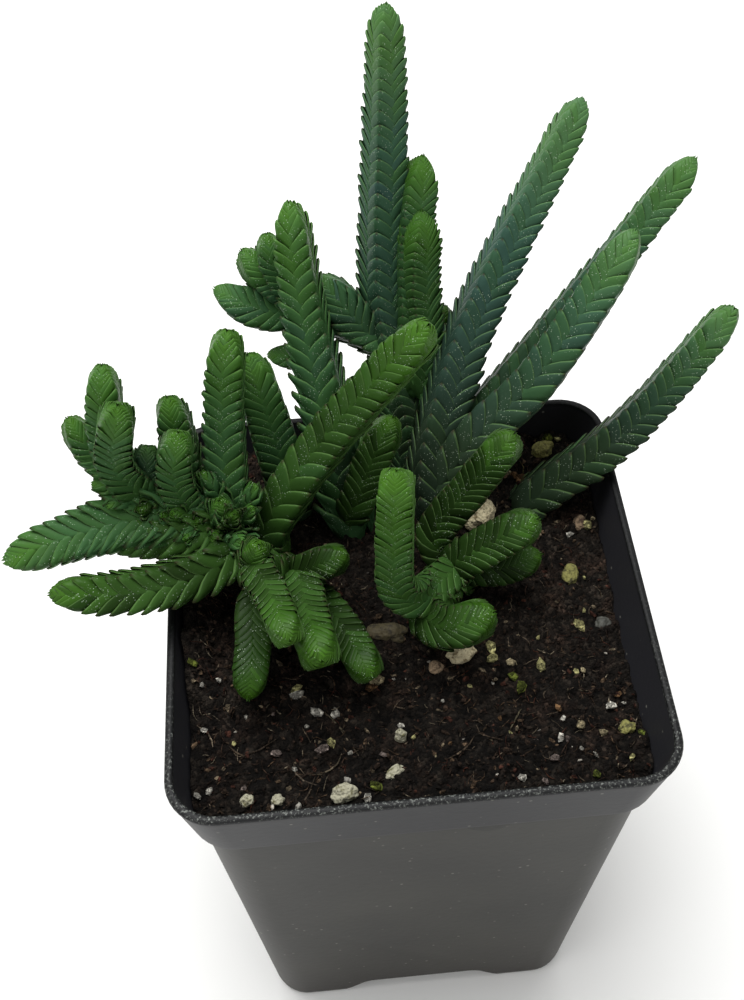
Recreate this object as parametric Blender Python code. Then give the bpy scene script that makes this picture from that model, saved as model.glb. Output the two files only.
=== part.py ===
"""A potted watch chain crassula: a square nursery pot, its peat, and stems braided with scale leaves.

All sizes are in millimetres here and become metres where a mesh is made. The origin is the centre
of the pot's underside, +Z is up, and the pot's best side faces -Y.
"""
import math
from collections import namedtuple

import bmesh
import bpy
from mathutils import Vector, noise

MM = 0.001

# Pot: a deep square nursery pot with a rim band
RIM_HALF = 35.0
POT_HEIGHT = 87.0
BAND_HEIGHT = 12.1
BAND_FOOT_HALF = 33.1
WALL_TOP_HALF = 32.15
BASE_HALF = 26.2
CORNER = 6.5
WALL = 1.0
FLOOR = 1.2
LIP = 1.2
BAY_WIDTH = 24.0
BAY_REACH = 9.0
BAY_HEIGHT = 3.0
DRAIN_RADIUS = 2.5

# Fits between pieces that touch
GAP = 0.3

# Facets along each side of the peat's surface
SOIL_STEPS = 5

# Grains: how far the middle stands over the peat, as a share of the height, and how rough they are
GRAIN_LIFT = 0.12
GRAIN_ROUGH = 0.28

# Leafy stems: FRONT is the side that roll counts from; the shares are of the stem's half width
FRONT = Vector((0.1, -0.66, 0.74))
ROOT_DEPTH = 6.0
STALK = 0.6
LEAF_STEP = 1.65
BRANCH_SUNK = 2.4
LEAF_RISE = 0.78
LIP_DROP = 0.12
GROOVE = 0.78
LEAF_FOOT = 0.82
TIP_DOME = 1.15
TIP_INSET = 0.4
PATH_STEPS = 16

Stem = namedtuple("Stem", "base tip roll points")
Grain = namedtuple("Grain", "name material x y length width height turn")

# Each stem: half width at its foot and tip, turn about its own length, and the points it grows
# through. A point's third value is its height above the floor.
BACK_SPRAY = (
    Stem(2.9, 3.0, 45, ((3.5, 27, 0), (3, 29.5, 88), (1.5, 33, 96), (0, 36.3, 104))),
    Stem(3.6, 3.0, 45, ((1, 34.5, 100), (0.3, 38, 109), (0.5, 40.7, 120), (1.3, 44, 135),
                        (2, 47.5, 154.2))),
    Stem(3.1, 2.8, 30, ((2.5, 33.5, 99), (4.2, 36.5, 106), (4.6, 40, 118), (6.6, 42.5, 132.3))),
    Stem(3.1, 2.8, 0, ((4, 32, 94), (6, 37.5, 101), (6.4, 40.7, 112), (6.8, 41.8, 123.7))),
    Stem(3.1, 2.9, 20, ((1, 35, 102), (-6, 37, 106), (-12.5, 39, 108.5), (-17, 40.3, 112.5),
                        (-20.7, 41, 118))),
    Stem(2.9, 2.7, 0, ((-11, 38.7, 107), (-18.5, 38.3, 108), (-25.4, 40.3, 111.5))),
    Stem(2.4, 2.1, 0, ((-13, 38.5, 109), (-16, 39.5, 116), (-16.7, 40.2, 121.7))),
    Stem(3.2, 2.8, 0, ((-2.5, 36, 103.5), (-6, 37, 108.7), (-9.6, 38.2, 114.3))),
    Stem(2.2, 2.0, 0, ((-8.5, 37, 105.5), (-12.5, 34.5, 102), (-18.2, 35.2, 101.5))),
    Stem(2.2, 1.8, 0, ((3.5, 31.5, 91), (6.8, 36, 94.5), (10, 40, 105))),
)
RIGHT_SPRAY = (
    Stem(3.9, 3.3, 12, ((6, 18.5, 0), (6.5, 23, 88), (11, 31.3, 100), (16.9, 39, 110.5),
                        (31.5, 54, 132.5))),
    Stem(3.9, 3.4, -20, ((8, 20.5, 85), (14.3, 22.9, 92), (23.3, 25.8, 100), (32.2, 30.8, 112.3),
                         (37.7, 34.6, 122.6))),
    Stem(3.3, 3.0, -5, ((8, 24.5, 88), (18, 30.3, 94.7), (34.7, 39.9, 109.7), (48.4, 46.3, 126))),
)
LOW_RIGHT_STEM = (
    Stem(4.1, 3.2, 0, ((21.5, 19.3, 0), (23.5, 19.8, 81.7), (32.5, 20.3, 90), (39.5, 20.7, 99.5),
                       (48.9, 20, 119.5))),
)
MIDDLE_SPRAY = (
    Stem(4.3, 3.5, -5, ((-7, 18, 0), (-9.7, 25.5, 97), (-12, 33, 113), (-13, 37.5, 129.6))),
    Stem(3.0, 2.8, 0, ((-7, 17.5, 83), (-5.5, 17.2, 88), (-3.5, 18.7, 93.5), (0, 20, 101.7))),
)
LONG_FRONT_STEM = (
    Stem(4.0, 3.4, 0, ((-20, 12.3, 0), (-19.8, 13.5, 86), (-14.5, 14.8, 96), (-7.5, 15, 107.5),
                       (4, 9.5, 130.6))),
)
INNER_LEFT_STEM = (
    Stem(3.7, 3.4, 0, ((-16.5, 21.5, 0), (-17, 21.5, 89), (-18.7, 23.3, 100), (-20.7, 24.5, 112.5))),
)
LEFT_SPRAY = (
    Stem(3.3, 3.1, 0, ((-27, 13, 0), (-25.7, 14, 92), (-25.1, 17, 101), (-24.3, 19.5, 110),
                       (-22.7, 20.7, 121.3))),
    Stem(2.6, 2.9, 0, ((-26.5, 13, 89), (-32, 12.7, 94), (-38, 13.5, 97.5), (-41, 15, 106),
                       (-40, 17.5, 119.5))),
    Stem(2.9, 2.7, 0, ((-38.5, 13.2, 97), (-40.3, 12.7, 105), (-37.7, 10.7, 118.5))),
    Stem(2.5, 2.2, 0, ((-39.5, 14.5, 98), (-44, 17.3, 101.5), (-46.8, 19, 107.8))),
    Stem(2.8, 2.7, 0, ((-31.3, 15, 94), (-31.2, 17.3, 102), (-31.3, 18, 111.7))),
    Stem(2.8, 2.6, 0, ((-31.5, 12, 93), (-32.2, 12, 102), (-30.5, 11.3, 111.5))),
    Stem(2.0, 1.8, 0, ((-35.5, 13.5, 96), (-36.3, 14.3, 101), (-35.5, 14.3, 105.7))),
    Stem(3.4, 2.9, 30, ((-27, 11.5, 92.7), (-37, 10.7, 93.8), (-47, 9, 93.3), (-57.8, 6.2, 92.2))),
    Stem(2.6, 2.4, 0, ((-26, 9.5, 92), (-34, 7.5, 92.7), (-44, 9.3, 91.8))),
    Stem(3.3, 2.9, 10, ((-26.5, 10, 89.5), (-27.5, 3, 91.7), (-38, -1.8, 93.5), (-50, -3, 96))),
    Stem(2.1, 1.8, 0, ((-28, 11, 93), (-28.3, 9, 99.5))),
    Stem(2.0, 1.7, 0, ((-25.5, 9.5, 93), (-24, 6.5, 98.5))),
    Stem(1.9, 1.6, 0, ((-31.5, 11, 93.5), (-33, 8, 98))),
    Stem(1.9, 1.6, 0, ((-38, 13.5, 97), (-44.5, 13.5, 99.5))),
)
FRONT_LEFT_SPRAY = (
    Stem(2.8, 2.7, 0, ((-15.5, 6, 0), (-18.5, 3, 88), (-22, -3, 89.5), (-22.7, -9, 87.7),
                       (-23.7, -15.9, 85.3))),
    Stem(2.8, 2.7, 20, ((-18, 3.3, 87), (-21.8, -1, 94), (-20, -9, 98), (-18, -16.9, 100.5))),
    Stem(3.2, 3.0, 0, ((-16.5, 4.5, 85), (-15.5, -1.5, 90.5), (-14.5, -9.5, 93.5), (-13, -17.2, 95.5))),
    Stem(2.8, 2.8, 0, ((-15.5, 4.5, 83.7), (-12, -2.5, 86), (-9, -8.5, 86.7), (-6.5, -15.2, 87))),
    Stem(2.7, 2.6, 0, ((-17, 4, 86), (-13.5, 2, 90.5), (-8.5, 1, 94.2))),
    Stem(2.1, 1.9, 0, ((-19, 2.5, 89), (-21.5, 1.5, 94), (-20.7, 0.3, 99))),
)
FRONT_SPRAY = (
    Stem(3.3, 3.3, 0, ((8, 6, 0), (7, 3, 85), (1.5, -3.5, 89), (-1.7, -5, 94.5), (-2, -4.7, 104),
                       (-1.5, -3.7, 117.6))),
    Stem(3.6, 3.3, 0, ((7.5, 5, 83), (5.3, 8.3, 88), (11, 9.3, 96), (17.3, 10, 106.5))),
    Stem(3.3, 3.1, 0, ((7, 4, 85), (12.5, 3, 91), (19.7, 2, 97.7))),
    Stem(2.8, 2.6, 0, ((8, 4.5, 84), (15, 3.3, 84.8), (20.4, 3.3, 87.5))),
    Stem(3.4, 3.3, 0, ((7, 3.5, 84), (3.5, -4.5, 85.5), (6, -8.7, 88.3), (11.3, -10, 92.7))),
)

# Each grain: its name and colour, where it lies, its length, width and height, and its turn
GRAINS = (
    Grain("pumice_lump_back", "pumice", 13.2, 16.8, 5.8, 4.8, 5.0, 60),
    Grain("pumice_lump_front", "pumice", 7.3, -7.6, 4.4, 3.4, 3.0, 15),
    Grain("stone_cream", "stone cream", -3.2, -3.4, 6.4, 3.0, 2.6, -8),
    Grain("grit_brown", "grit brown", 3.4, -9.6, 2.4, 2.0, 1.8, 30),
    Grain("perlite_front_edge", "perlite", -11.3, -29.0, 3.8, 2.6, 2.4, 5),
    Grain("perlite_left_corner", "perlite", -24.7, -28.5, 2.0, 1.7, 1.6, 40),
    Grain("perlite_left_edge", "perlite", -20.4, -28.8, 1.8, 1.7, 1.6, 0),
    Grain("perlite_long", "perlite", -4.2, -26.4, 3.0, 1.6, 1.5, 35),
    Grain("perlite_upright", "perlite", -2.8, -20.8, 1.6, 1.6, 2.8, 10),
    Grain("grit_yellow_right", "grit yellow", 26.2, 5.8, 3.6, 2.4, 2.2, 80),
    Grain("grit_yellow_back", "grit yellow", 25.3, 28.6, 3.8, 3.0, 2.6, 25),
    Grain("grit_yellow_corner", "grit yellow", 29.6, -21.7, 2.6, 2.0, 1.7, 10),
    Grain("grit_tan_wall", "grit brown", 29.4, 15.2, 2.8, 2.0, 1.8, 70),
    Grain("pebble_grey", "pebble grey", 29.8, -3.1, 2.5, 2.1, 1.8, 20),
)

# Colour, roughness
FINISH = {
    "pot plastic": ("#3c3c3c", 0.5),
    "peat": ("#1f1613", 0.95),
    "leaf green": ("#2f5a2b", 0.45),
    "pumice": ("#c9bfa6", 0.9),
    "stone cream": ("#8a7c5c", 0.8),
    "grit brown": ("#8d7350", 0.85),
    "grit yellow": ("#a59a4e", 0.85),
    "perlite": ("#d9d6cc", 0.9),
    "pebble grey": ("#8d8f90", 0.7),
}


def linear(channel):
    return channel / 12.92 if channel <= 0.04045 else ((channel + 0.055) / 1.055) ** 2.4


def make_material(name):
    """A Principled material from an sRGB hex colour and a roughness."""
    code, roughness = FINISH[name]
    material = bpy.data.materials.new(name)
    material.use_nodes = True
    shader = material.node_tree.nodes["Principled BSDF"]
    rgb = [linear(int(code[i:i + 2], 16) / 255) for i in (1, 3, 5)]
    shader.inputs["Base Color"].default_value = (*rgb, 1)
    shader.inputs["Roughness"].default_value = roughness
    return material


def make_object(name, vertices, faces, collection, material):
    """A mesh object from points in millimetres."""
    mesh = bpy.data.meshes.new(name)
    mesh.from_pydata([Vector(v) * MM for v in vertices], [], faces)
    mesh.materials.append(material)
    item = bpy.data.objects.new(name, mesh)
    collection.objects.link(item)
    return item


def make_collection(name):
    collection = bpy.data.collections.new(name)
    bpy.context.scene.collection.children.link(collection)
    return collection


def combine(target, operands, operation, solver="EXACT"):
    """Joins a collection to the target, or cuts it away, and removes the collection's objects."""
    modifier = target.modifiers.new("Boolean", "BOOLEAN")
    modifier.operation = operation
    modifier.operand_type = "COLLECTION"
    modifier.collection = operands
    modifier.solver = solver
    bpy.context.view_layer.objects.active = target
    bpy.ops.object.modifier_apply(modifier=modifier.name)
    for item in list(operands.objects):
        bpy.data.objects.remove(item)


def add_box(low, high, collection):
    """A box between two opposite corners."""
    size = Vector(high) - Vector(low)
    bpy.ops.mesh.primitive_cube_add(size=MM, location=(Vector(low) + Vector(high)) * MM / 2)
    box = bpy.context.object
    box.scale = size
    bpy.ops.object.transform_apply(location=False, rotation=False, scale=True)
    move_to(box, collection)


def add_cylinder(radius, start, end, collection, sides=12):
    """A cylinder from one point to another."""
    axis = Vector(end) - Vector(start)
    bpy.ops.mesh.primitive_cylinder_add(vertices=sides, radius=radius * MM, depth=axis.length * MM)
    rod = bpy.context.object
    rod.location = (Vector(start) + Vector(end)) * MM / 2
    rod.rotation_euler = axis.to_track_quat("Z", "Y").to_euler()
    move_to(rod, collection)


def move_to(item, collection):
    for old in list(item.users_collection):
        old.objects.unlink(item)
    collection.objects.link(item)


def keep_largest(item):
    """Drops loose scraps and fills sealed pockets by keeping the largest shell alone."""
    bm = bmesh.new()
    bm.from_mesh(item.data)
    left = set(bm.verts)
    shells = []
    while left:
        stack = [left.pop()]
        shell = list(stack)
        while stack:
            for edge in stack.pop().link_edges:
                for vert in edge.verts:
                    if vert in left:
                        left.remove(vert)
                        stack.append(vert)
                        shell.append(vert)
        shells.append(shell)
    shells.sort(key=len)
    bmesh.ops.delete(bm, geom=[v for shell in shells[:-1] for v in shell], context="VERTS")
    bm.to_mesh(item.data)
    bm.free()


def outline(half, corner, arc_steps=3, side_steps=1):
    """Points round a square with rounded corners, counterclockwise seen from above."""
    points = []
    for turn in range(4):
        quarter = math.pi / 2 * turn
        for step in range(arc_steps + 1):
            angle = quarter + math.pi / 2 * step / arc_steps
            centre = half - corner
            x = centre * math.sqrt(2) * math.cos(quarter + math.pi / 4) + corner * math.cos(angle)
            y = centre * math.sqrt(2) * math.sin(quarter + math.pi / 4) + corner * math.sin(angle)
            points.append((x, y))
        nxt = quarter + math.pi / 2
        start = points[-1]
        end_x = centre * math.sqrt(2) * math.cos(nxt + math.pi / 4) + corner * math.cos(nxt)
        end_y = centre * math.sqrt(2) * math.sin(nxt + math.pi / 4) + corner * math.sin(nxt)
        for step in range(1, side_steps):
            share = step / side_steps
            points.append((start[0] + (end_x - start[0]) * share, start[1] + (end_y - start[1]) * share))
    return points


def loft(name, rings, collection, material):
    """A closed body through rings of as many points each, capped at its first and last ring."""
    count = len(rings[0])
    vertices = [point for ring in rings for point in ring]
    faces = []
    for row in range(len(rings) - 1):
        for k in range(count):
            a, b = row * count + k, row * count + (k + 1) % count
            faces.append((a, b, b + count, a + count))
    for first, flip in ((0, True), (len(vertices) - count, False)):
        ring = vertices[first:first + count]
        middle = sum((Vector(p) for p in ring), Vector()) / count
        vertices.append(tuple(middle))
        for k in range(count):
            edge = (first + k, first + (k + 1) % count)
            faces.append((*(reversed(edge) if flip else edge), len(vertices) - 1))
    return make_object(name, vertices, faces, collection, material)


def inner_half(z):
    """Half width of the pot's inside at a height."""
    band_foot = POT_HEIGHT - BAND_HEIGHT
    if z < band_foot - 0.7:
        share = z / (band_foot - 0.7)
        return BASE_HALF - WALL + (WALL_TOP_HALF - BASE_HALF) * share
    if z < band_foot + 0.3:
        return inner_half(band_foot - 0.71) + (z - band_foot + 0.7) * 0.8
    share = (z - band_foot) / BAND_HEIGHT
    return BAND_FOOT_HALF - LIP + (RIM_HALF - BAND_FOOT_HALF) * share


def soil_height(x, y):
    """Height of the peat's surface: low at the right, banked up at the back, and crumbly."""
    lie = 79.6 + 0.035 * y + 0.0016 * y * y - 0.05 * x * math.exp(-(y / 22) ** 2) - 0.0012 * x * x
    return lie + 0.55 * noise.noise(Vector((x, y, 0)) / 4.5) + 0.25 * noise.noise(Vector((x, y, 9)) / 2)


def build_pot(parts, cutters):
    """The pot: a turned-over rim band on a tapered square body, with four raised drain bays."""
    foot = POT_HEIGHT - BAND_HEIGHT
    levels = (
        (BASE_HALF - 0.5, CORNER - 0.7, 0),
        (BASE_HALF, CORNER - 0.3, 0.7),
        (WALL_TOP_HALF, CORNER, foot),
        (BAND_FOOT_HALF - 0.15, CORNER + 0.2, foot),
        (BAND_FOOT_HALF, CORNER + 0.2, foot + 0.25),
        (RIM_HALF - 0.05, CORNER + 0.4, POT_HEIGHT - 0.8),
        (RIM_HALF, CORNER + 0.4, POT_HEIGHT - 0.5),
        (RIM_HALF - 0.2, CORNER + 0.3, POT_HEIGHT - 0.12),
        (RIM_HALF - 0.5, CORNER, POT_HEIGHT),
        (RIM_HALF - LIP + 0.3, CORNER - 0.2, POT_HEIGHT),
        (RIM_HALF - LIP, CORNER - 0.5, POT_HEIGHT - 0.3),
        (inner_half(foot + 0.35), CORNER - 0.8, foot + 0.35),
        (inner_half(foot - 0.71), CORNER - 0.9, foot - 0.71),
        (inner_half(FLOOR), CORNER - 1.3, FLOOR),
    )
    rings = [[(x, y, z) for x, y in outline(half, corner)] for half, corner, z in levels]
    pot = loft("pot", rings, parts, make_material("pot plastic"))
    for axis in range(4):
        add_bay_box(axis, BAY_WIDTH + 2 * WALL, BASE_HALF - BAY_REACH - WALL, BASE_HALF - 0.4,
                    0.5, BAY_HEIGHT + FLOOR, cutters)
    combine(pot, cutters, "UNION")
    for axis in range(4):
        add_bay_box(axis, BAY_WIDTH, BASE_HALF - BAY_REACH, BASE_HALF + 5, -1, BAY_HEIGHT, cutters)
        angle = math.pi / 2 * axis
        place = Vector((math.cos(angle), math.sin(angle), 0)) * (BASE_HALF - BAY_REACH * 0.6)
        add_cylinder(DRAIN_RADIUS, place + Vector((0, 0, 1)), place + Vector((0, 0, 6)), cutters)
    combine(pot, cutters, "DIFFERENCE")
    pot.data.shade_smooth()
    pot.data.set_sharp_from_angle(angle=math.radians(35))


def add_bay_box(axis, width, near, far, low, high, collection):
    """A box under the middle of one side of the base, from near to far out from the centre."""
    if axis % 2 == 0:
        side = 1 if axis == 0 else -1
        reach = sorted((near * side, far * side))
        add_box((reach[0], -width / 2, low), (reach[1], width / 2, high), collection)
        return
    side = 1 if axis == 1 else -1
    reach = sorted((near * side, far * side))
    add_box((-width / 2, reach[0], low), (width / 2, reach[1], high), collection)


def build_soil(parts, cutters):
    """The peat: it fills the pot, leaves the bays free, and its top follows soil_height."""
    foot = POT_HEIGHT - BAND_HEIGHT
    rings = []
    for z in (FLOOR + GAP, foot - 1):
        ring = outline(inner_half(z) - GAP - 0.05, CORNER - 1.3, 3, SOIL_STEPS)
        rings.append([(x, y, z) for x, y in ring])
    edge = outline(1, 0.18, 3, SOIL_STEPS)
    for share in (1, 0.93, 0.76, 0.58, 0.4, 0.2):
        ring = []
        for x, y in edge:
            half = inner_half(77) * share
            z = soil_height(x * half, y * half)
            half = (inner_half(z) - GAP - 0.15) * share
            ring.append((x * half, y * half, z))
        rings.append(ring)
    soil = loft("potting_soil", rings, parts, make_material("peat"))
    for axis in range(4):
        add_bay_box(axis, BAY_WIDTH + 2 * WALL + 2 * GAP, BASE_HALF - BAY_REACH - WALL - GAP,
                    BASE_HALF + 5, 0, BAY_HEIGHT + FLOOR + GAP, cutters)
    combine(soil, cutters, "DIFFERENCE")
    return soil


def build_grain(grain, seed, parts, cutters):
    """A rough stone, half sunk, and its socket in the peat."""
    size = Vector((grain.length, grain.width, grain.height)) / 2
    turn = math.radians(grain.turn)
    place = Vector((grain.x, grain.y, soil_height(grain.x, grain.y) + GRAIN_LIFT * grain.height))
    for grow, name, collection in ((0, grain.name, parts), (GAP, grain.name + "_socket", cutters)):
        bm = bmesh.new()
        bmesh.ops.create_icosphere(bm, subdivisions=2 if grain.length > 3.5 else 1, radius=1)
        for vert in bm.verts:
            way = vert.co.copy()
            rough = 1 + GRAIN_ROUGH * noise.noise(way * 1.4 + Vector((seed * 7.3, 0, 0)))
            point = Vector([way[i] * (size[i] * rough + grow * 1.25) for i in range(3)])
            x = point.x * math.cos(turn) - point.y * math.sin(turn)
            y = point.x * math.sin(turn) + point.y * math.cos(turn)
            vert.co = (Vector((x, y, point.z)) + place) * MM
        mesh = bpy.data.meshes.new(name)
        bm.to_mesh(mesh)
        bm.free()
        if collection == parts:
            material = bpy.data.materials.get(grain.material) or make_material(grain.material)
            mesh.materials.append(material)
        collection.objects.link(bpy.data.objects.new(name, mesh))


def smooth_path(points):
    """Points along a smooth curve through the given ones."""
    ends = [2 * points[0] - points[1], *points, 2 * points[-1] - points[-2]]
    path = []
    for a, b, c, d in zip(ends, ends[1:], ends[2:], ends[3:]):
        for k in range(PATH_STEPS):
            t = k / PATH_STEPS
            path.append((2 * b + (c - a) * t + (2 * a - 5 * b + 4 * c - d) * t * t
                         + (3 * b - 3 * c + d - a) * t ** 3) / 2)
    path.append(points[-1])
    return path


class Path:
    """A stem's centreline with a frame that doesn't twist, set by the side that faces front."""

    def __init__(self, points, roll):
        self.points = smooth_path(points)
        self.ways = []
        for k in range(len(self.points)):
            low, high = max(k - 1, 0), min(k + 1, len(self.points) - 1)
            self.ways.append((self.points[high] - self.points[low]).normalized())
        self.marks = [0.0]
        for a, b in zip(self.points, self.points[1:]):
            self.marks.append(self.marks[-1] + (b - a).length)
        self.length = self.marks[-1]
        side = FRONT
        self.sides = []
        for way in reversed(self.ways):
            side = (side - way * side.dot(way)).normalized()
            self.sides.append(side)
        self.sides.reverse()
        self.roll = math.radians(roll)

    def at(self, distance, angle, radius):
        """The point at a distance along the stem, turned by angle about it, radius away."""
        k = 1
        while k < len(self.marks) - 1 and self.marks[k] < distance:
            k += 1
        share = (distance - self.marks[k - 1]) / (self.marks[k] - self.marks[k - 1])
        centre = self.points[k - 1].lerp(self.points[k], share)
        bound = min(max(share, 0), 1)
        way = self.ways[k - 1].lerp(self.ways[k], bound).normalized()
        side = self.sides[k - 1].lerp(self.sides[k], bound)
        side = (side - way * side.dot(way)).normalized()
        turned = angle + self.roll
        return centre + (side * math.cos(turned) + way.cross(side) * math.sin(turned)) * radius


def stem_lines(path, stem, bare):
    """Eight lines of points up a stem: four grooves, and four ranks of leaf tips between them.

    Pairs of leaves stand crosswise in turn. Each leaf is a point that rises past the next pair,
    a lip under it, and a foot tucked beneath the leaf below.
    """
    mean = (stem.base + stem.tip) / 2
    dome = TIP_DOME * stem.tip
    last = path.length - TIP_INSET * stem.tip
    first = bare + 0.2 * mean
    rows = max(2, round((last - first) / LEAF_STEP))
    step = (last - first) / (rows - 1)

    def radius(distance):
        share = min(max(distance / path.length, 0), 1)
        beyond = min(max((distance - path.length + dome) / dome, 0), 1)
        return (stem.base + (stem.tip - stem.base) * share) * math.sqrt(1 - 0.97 * beyond * beyond)

    lines = []
    for line in range(8):
        angle = math.pi / 4 * line
        points = [(-4, path.at(0, angle, STALK * stem.base)), (-3, path.at(bare, angle, STALK * stem.base))]
        for row in range(rows):
            place = first + step * row
            grow = min(1, 0.8 + 0.1 * row)
            if line % 2 == 0:
                points.append((row, path.at(place, angle, radius(place) * GROOVE * grow)))
            elif row % 2 == (line // 2) % 2:
                rise = place + min(LEAF_RISE * radius(place), 0.75 * (path.length - place))
                points.append((row - 0.95, path.at(rise, angle, radius(rise) * grow)))
                tuck = rise - LIP_DROP * mean
                points.append((row + 0.1, path.at(tuck, angle, radius(tuck) * LEAF_FOOT * grow)))
        lines.append(points)
    return lines


def build_stem(name, stem, rooted, collection, material):
    """One stem as a closed body: the strips between its eight lines, a foot and a tip."""
    points = [Vector(p) for p in stem.points]
    bare = BRANCH_SUNK
    if rooted:
        points[0].z = soil_height(points[0].x, points[0].y)
        way = (points[1] - points[0]).normalized()
        lean = math.sqrt(1 - way.z * way.z)
        bare = ROOT_DEPTH + 0.8 + stem.base * lean
        points.insert(0, points[0] - way * ROOT_DEPTH)
    path = Path(points, stem.roll)
    lines = stem_lines(path, stem, bare)
    vertices, starts = [], []
    for line in lines:
        starts.append(len(vertices))
        vertices.extend(tuple(point) for _, point in line)
    vertices.append(tuple(path.points[0]))
    vertices.append(tuple(path.points[-1]))
    foot, tip = len(vertices) - 2, len(vertices) - 1
    faces = []
    for k in range(8):
        right = (k + 1) % 8
        faces.append((foot, starts[right], starts[k]))
        i, j = 0, 0
        while i < len(lines[k]) - 1 or j < len(lines[right]) - 1:
            next_i = lines[k][i + 1][0] if i < len(lines[k]) - 1 else math.inf
            next_j = lines[right][j + 1][0] if j < len(lines[right]) - 1 else math.inf
            a, b = starts[k] + i, starts[right] + j
            if next_i <= next_j:
                faces.append((a, b, a + 1))
                i += 1
            else:
                faces.append((a, b, b + 1))
                j += 1
        faces.append((starts[k] + i, starts[right] + j, tip))
    return make_object(name, vertices, faces, collection, material), path


def build_spray(name, stems, parts, operands, sockets):
    """A stem with its branches as one body, and the plain hole that it stands in."""
    material = bpy.data.materials.get("leaf green") or make_material("leaf green")
    main, path = build_stem(name, stems[0], True, parts, material)
    way = (path.points[1] - path.points[0]).normalized()
    start = path.points[0] - way * GAP
    hole = STALK * stems[0].base + GAP
    add_cylinder(hole, start, start + way * (ROOT_DEPTH + 3), sockets, sides=16)
    if len(stems) == 1:
        return
    for stem in stems[1:]:
        build_stem(name + "_branch", stem, False, operands, material)
    combine(main, operands, "UNION", "MANIFOLD")
    keep_largest(main)


def main():
    for item in list(bpy.data.objects):
        bpy.data.objects.remove(item)
    parts = make_collection("potted_watch_chain_crassula")
    cutters = make_collection("cutters")
    operands = make_collection("branches")
    sockets = make_collection("sockets")
    build_pot(parts, cutters)
    soil = build_soil(parts, cutters)
    sprays = (
        ("spray_back", BACK_SPRAY),
        ("spray_right", RIGHT_SPRAY),
        ("stem_low_right", LOW_RIGHT_STEM),
        ("spray_middle", MIDDLE_SPRAY),
        ("stem_long_front", LONG_FRONT_STEM),
        ("stem_inner_left", INNER_LEFT_STEM),
        ("spray_left", LEFT_SPRAY),
        ("spray_front_left", FRONT_LEFT_SPRAY),
        ("spray_front", FRONT_SPRAY),
    )
    for name, stems in sprays:
        build_spray(name, stems, parts, operands, sockets)
    for seed, grain in enumerate(GRAINS):
        build_grain(grain, seed + 1, parts, sockets)
    combine(soil, sockets, "DIFFERENCE")
    keep_largest(soil)
    for empty in (cutters, operands, sockets):
        bpy.data.collections.remove(empty)


main()
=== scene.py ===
# %% [markdown]
# # A potted watch chain crassula
#
# This lesson dresses a small potted plant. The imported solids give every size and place: a square
# nursery pot, peat, a few loose stones, and nine leafy sprays. Each is replaced here by a finer
# piece with the same outline, made of a few shapes that are modelled once, copied and wrapped.
# Lengths are written in millimetres and multiplied by MM where Blender needs metres.

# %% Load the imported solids
import math
from collections import namedtuple

import bmesh
import bpy
import numpy as np
from mathutils import Matrix, Vector, noise


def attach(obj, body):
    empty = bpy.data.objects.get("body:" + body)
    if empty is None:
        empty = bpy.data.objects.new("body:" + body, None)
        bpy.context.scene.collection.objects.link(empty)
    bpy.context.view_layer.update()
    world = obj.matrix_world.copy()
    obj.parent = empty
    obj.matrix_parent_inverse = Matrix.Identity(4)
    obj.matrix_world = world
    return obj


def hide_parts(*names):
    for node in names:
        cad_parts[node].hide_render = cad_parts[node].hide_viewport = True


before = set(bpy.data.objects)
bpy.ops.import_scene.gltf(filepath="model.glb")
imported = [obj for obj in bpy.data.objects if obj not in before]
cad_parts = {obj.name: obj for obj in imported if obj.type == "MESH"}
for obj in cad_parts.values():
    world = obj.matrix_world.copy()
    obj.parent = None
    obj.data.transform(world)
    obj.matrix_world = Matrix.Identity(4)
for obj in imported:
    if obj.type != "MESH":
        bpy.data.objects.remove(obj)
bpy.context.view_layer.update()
MM = 0.001
rng = np.random.default_rng(11)

# %% [markdown]
# ## Small helpers
#
# Operators act on whatever is selected, so each step first clears the selection. A finished piece
# has its turn and place pressed into its mesh, so that its object sits at the origin. One function
# adds a shader node with its settings and links, and one turns a colour written in hex to linear.
# Given to a socket, a node stands for its first output, and a hex code for its colour.


# %% Helpers for objects
def clear_selection():
    if bpy.context.object and bpy.context.object.mode == "EDIT":
        bpy.ops.object.mode_set(mode="OBJECT")
    bpy.ops.object.select_all(action="DESELECT")


def only(item):
    """Makes one object the selected and active one."""
    clear_selection()
    item.select_set(True)
    bpy.context.view_layer.objects.active = item
    return item


def press_in(item, name):
    """Applies the object's place to its mesh and names both."""
    only(item)
    bpy.ops.object.transform_apply(location=True, rotation=True, scale=True)
    item.name = name
    item.data.name = name
    return item


def edit_edges():
    """Enters edit mode with nothing selected, to pick edges."""
    bpy.ops.object.mode_set(mode="EDIT")
    bpy.ops.mesh.select_mode(type="EDGE")
    bpy.ops.mesh.select_all(action="DESELECT")


def leave_edit():
    """Turns all faces outwards and leaves edit mode."""
    bpy.ops.mesh.select_all(action="SELECT")
    bpy.ops.mesh.normals_make_consistent(inside=False)
    bpy.ops.object.mode_set(mode="OBJECT")


def stand_for(item, slot, *nodes):
    """The piece rides with the part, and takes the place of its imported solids."""
    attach(item, "root")
    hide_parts(*nodes)
    triangles = sum(len(face.vertices) - 2 for face in item.data.polygons)
    print(f"{item.name}: {triangles} triangles")
    return item


def mesh_piece(name, vertices, faces):
    """An object from points in millimetres."""
    mesh = bpy.data.meshes.new(name)
    mesh.from_pydata((np.asarray(vertices) * MM).tolist(), [], faces)
    item = bpy.data.objects.new(name, mesh)
    bpy.context.scene.collection.objects.link(item)
    return item


def taken_apart(item):
    """The points and faces of a shape that only serves as a template."""
    points = np.array([vertex.co for vertex in item.data.vertices])
    faces = [list(face.vertices) for face in item.data.polygons]
    bpy.data.objects.remove(item)
    return points, faces


def shifted(faces, start):
    """The faces of a copy whose points begin further on in the list."""
    return [[k + start for k in face] for face in faces]


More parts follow.
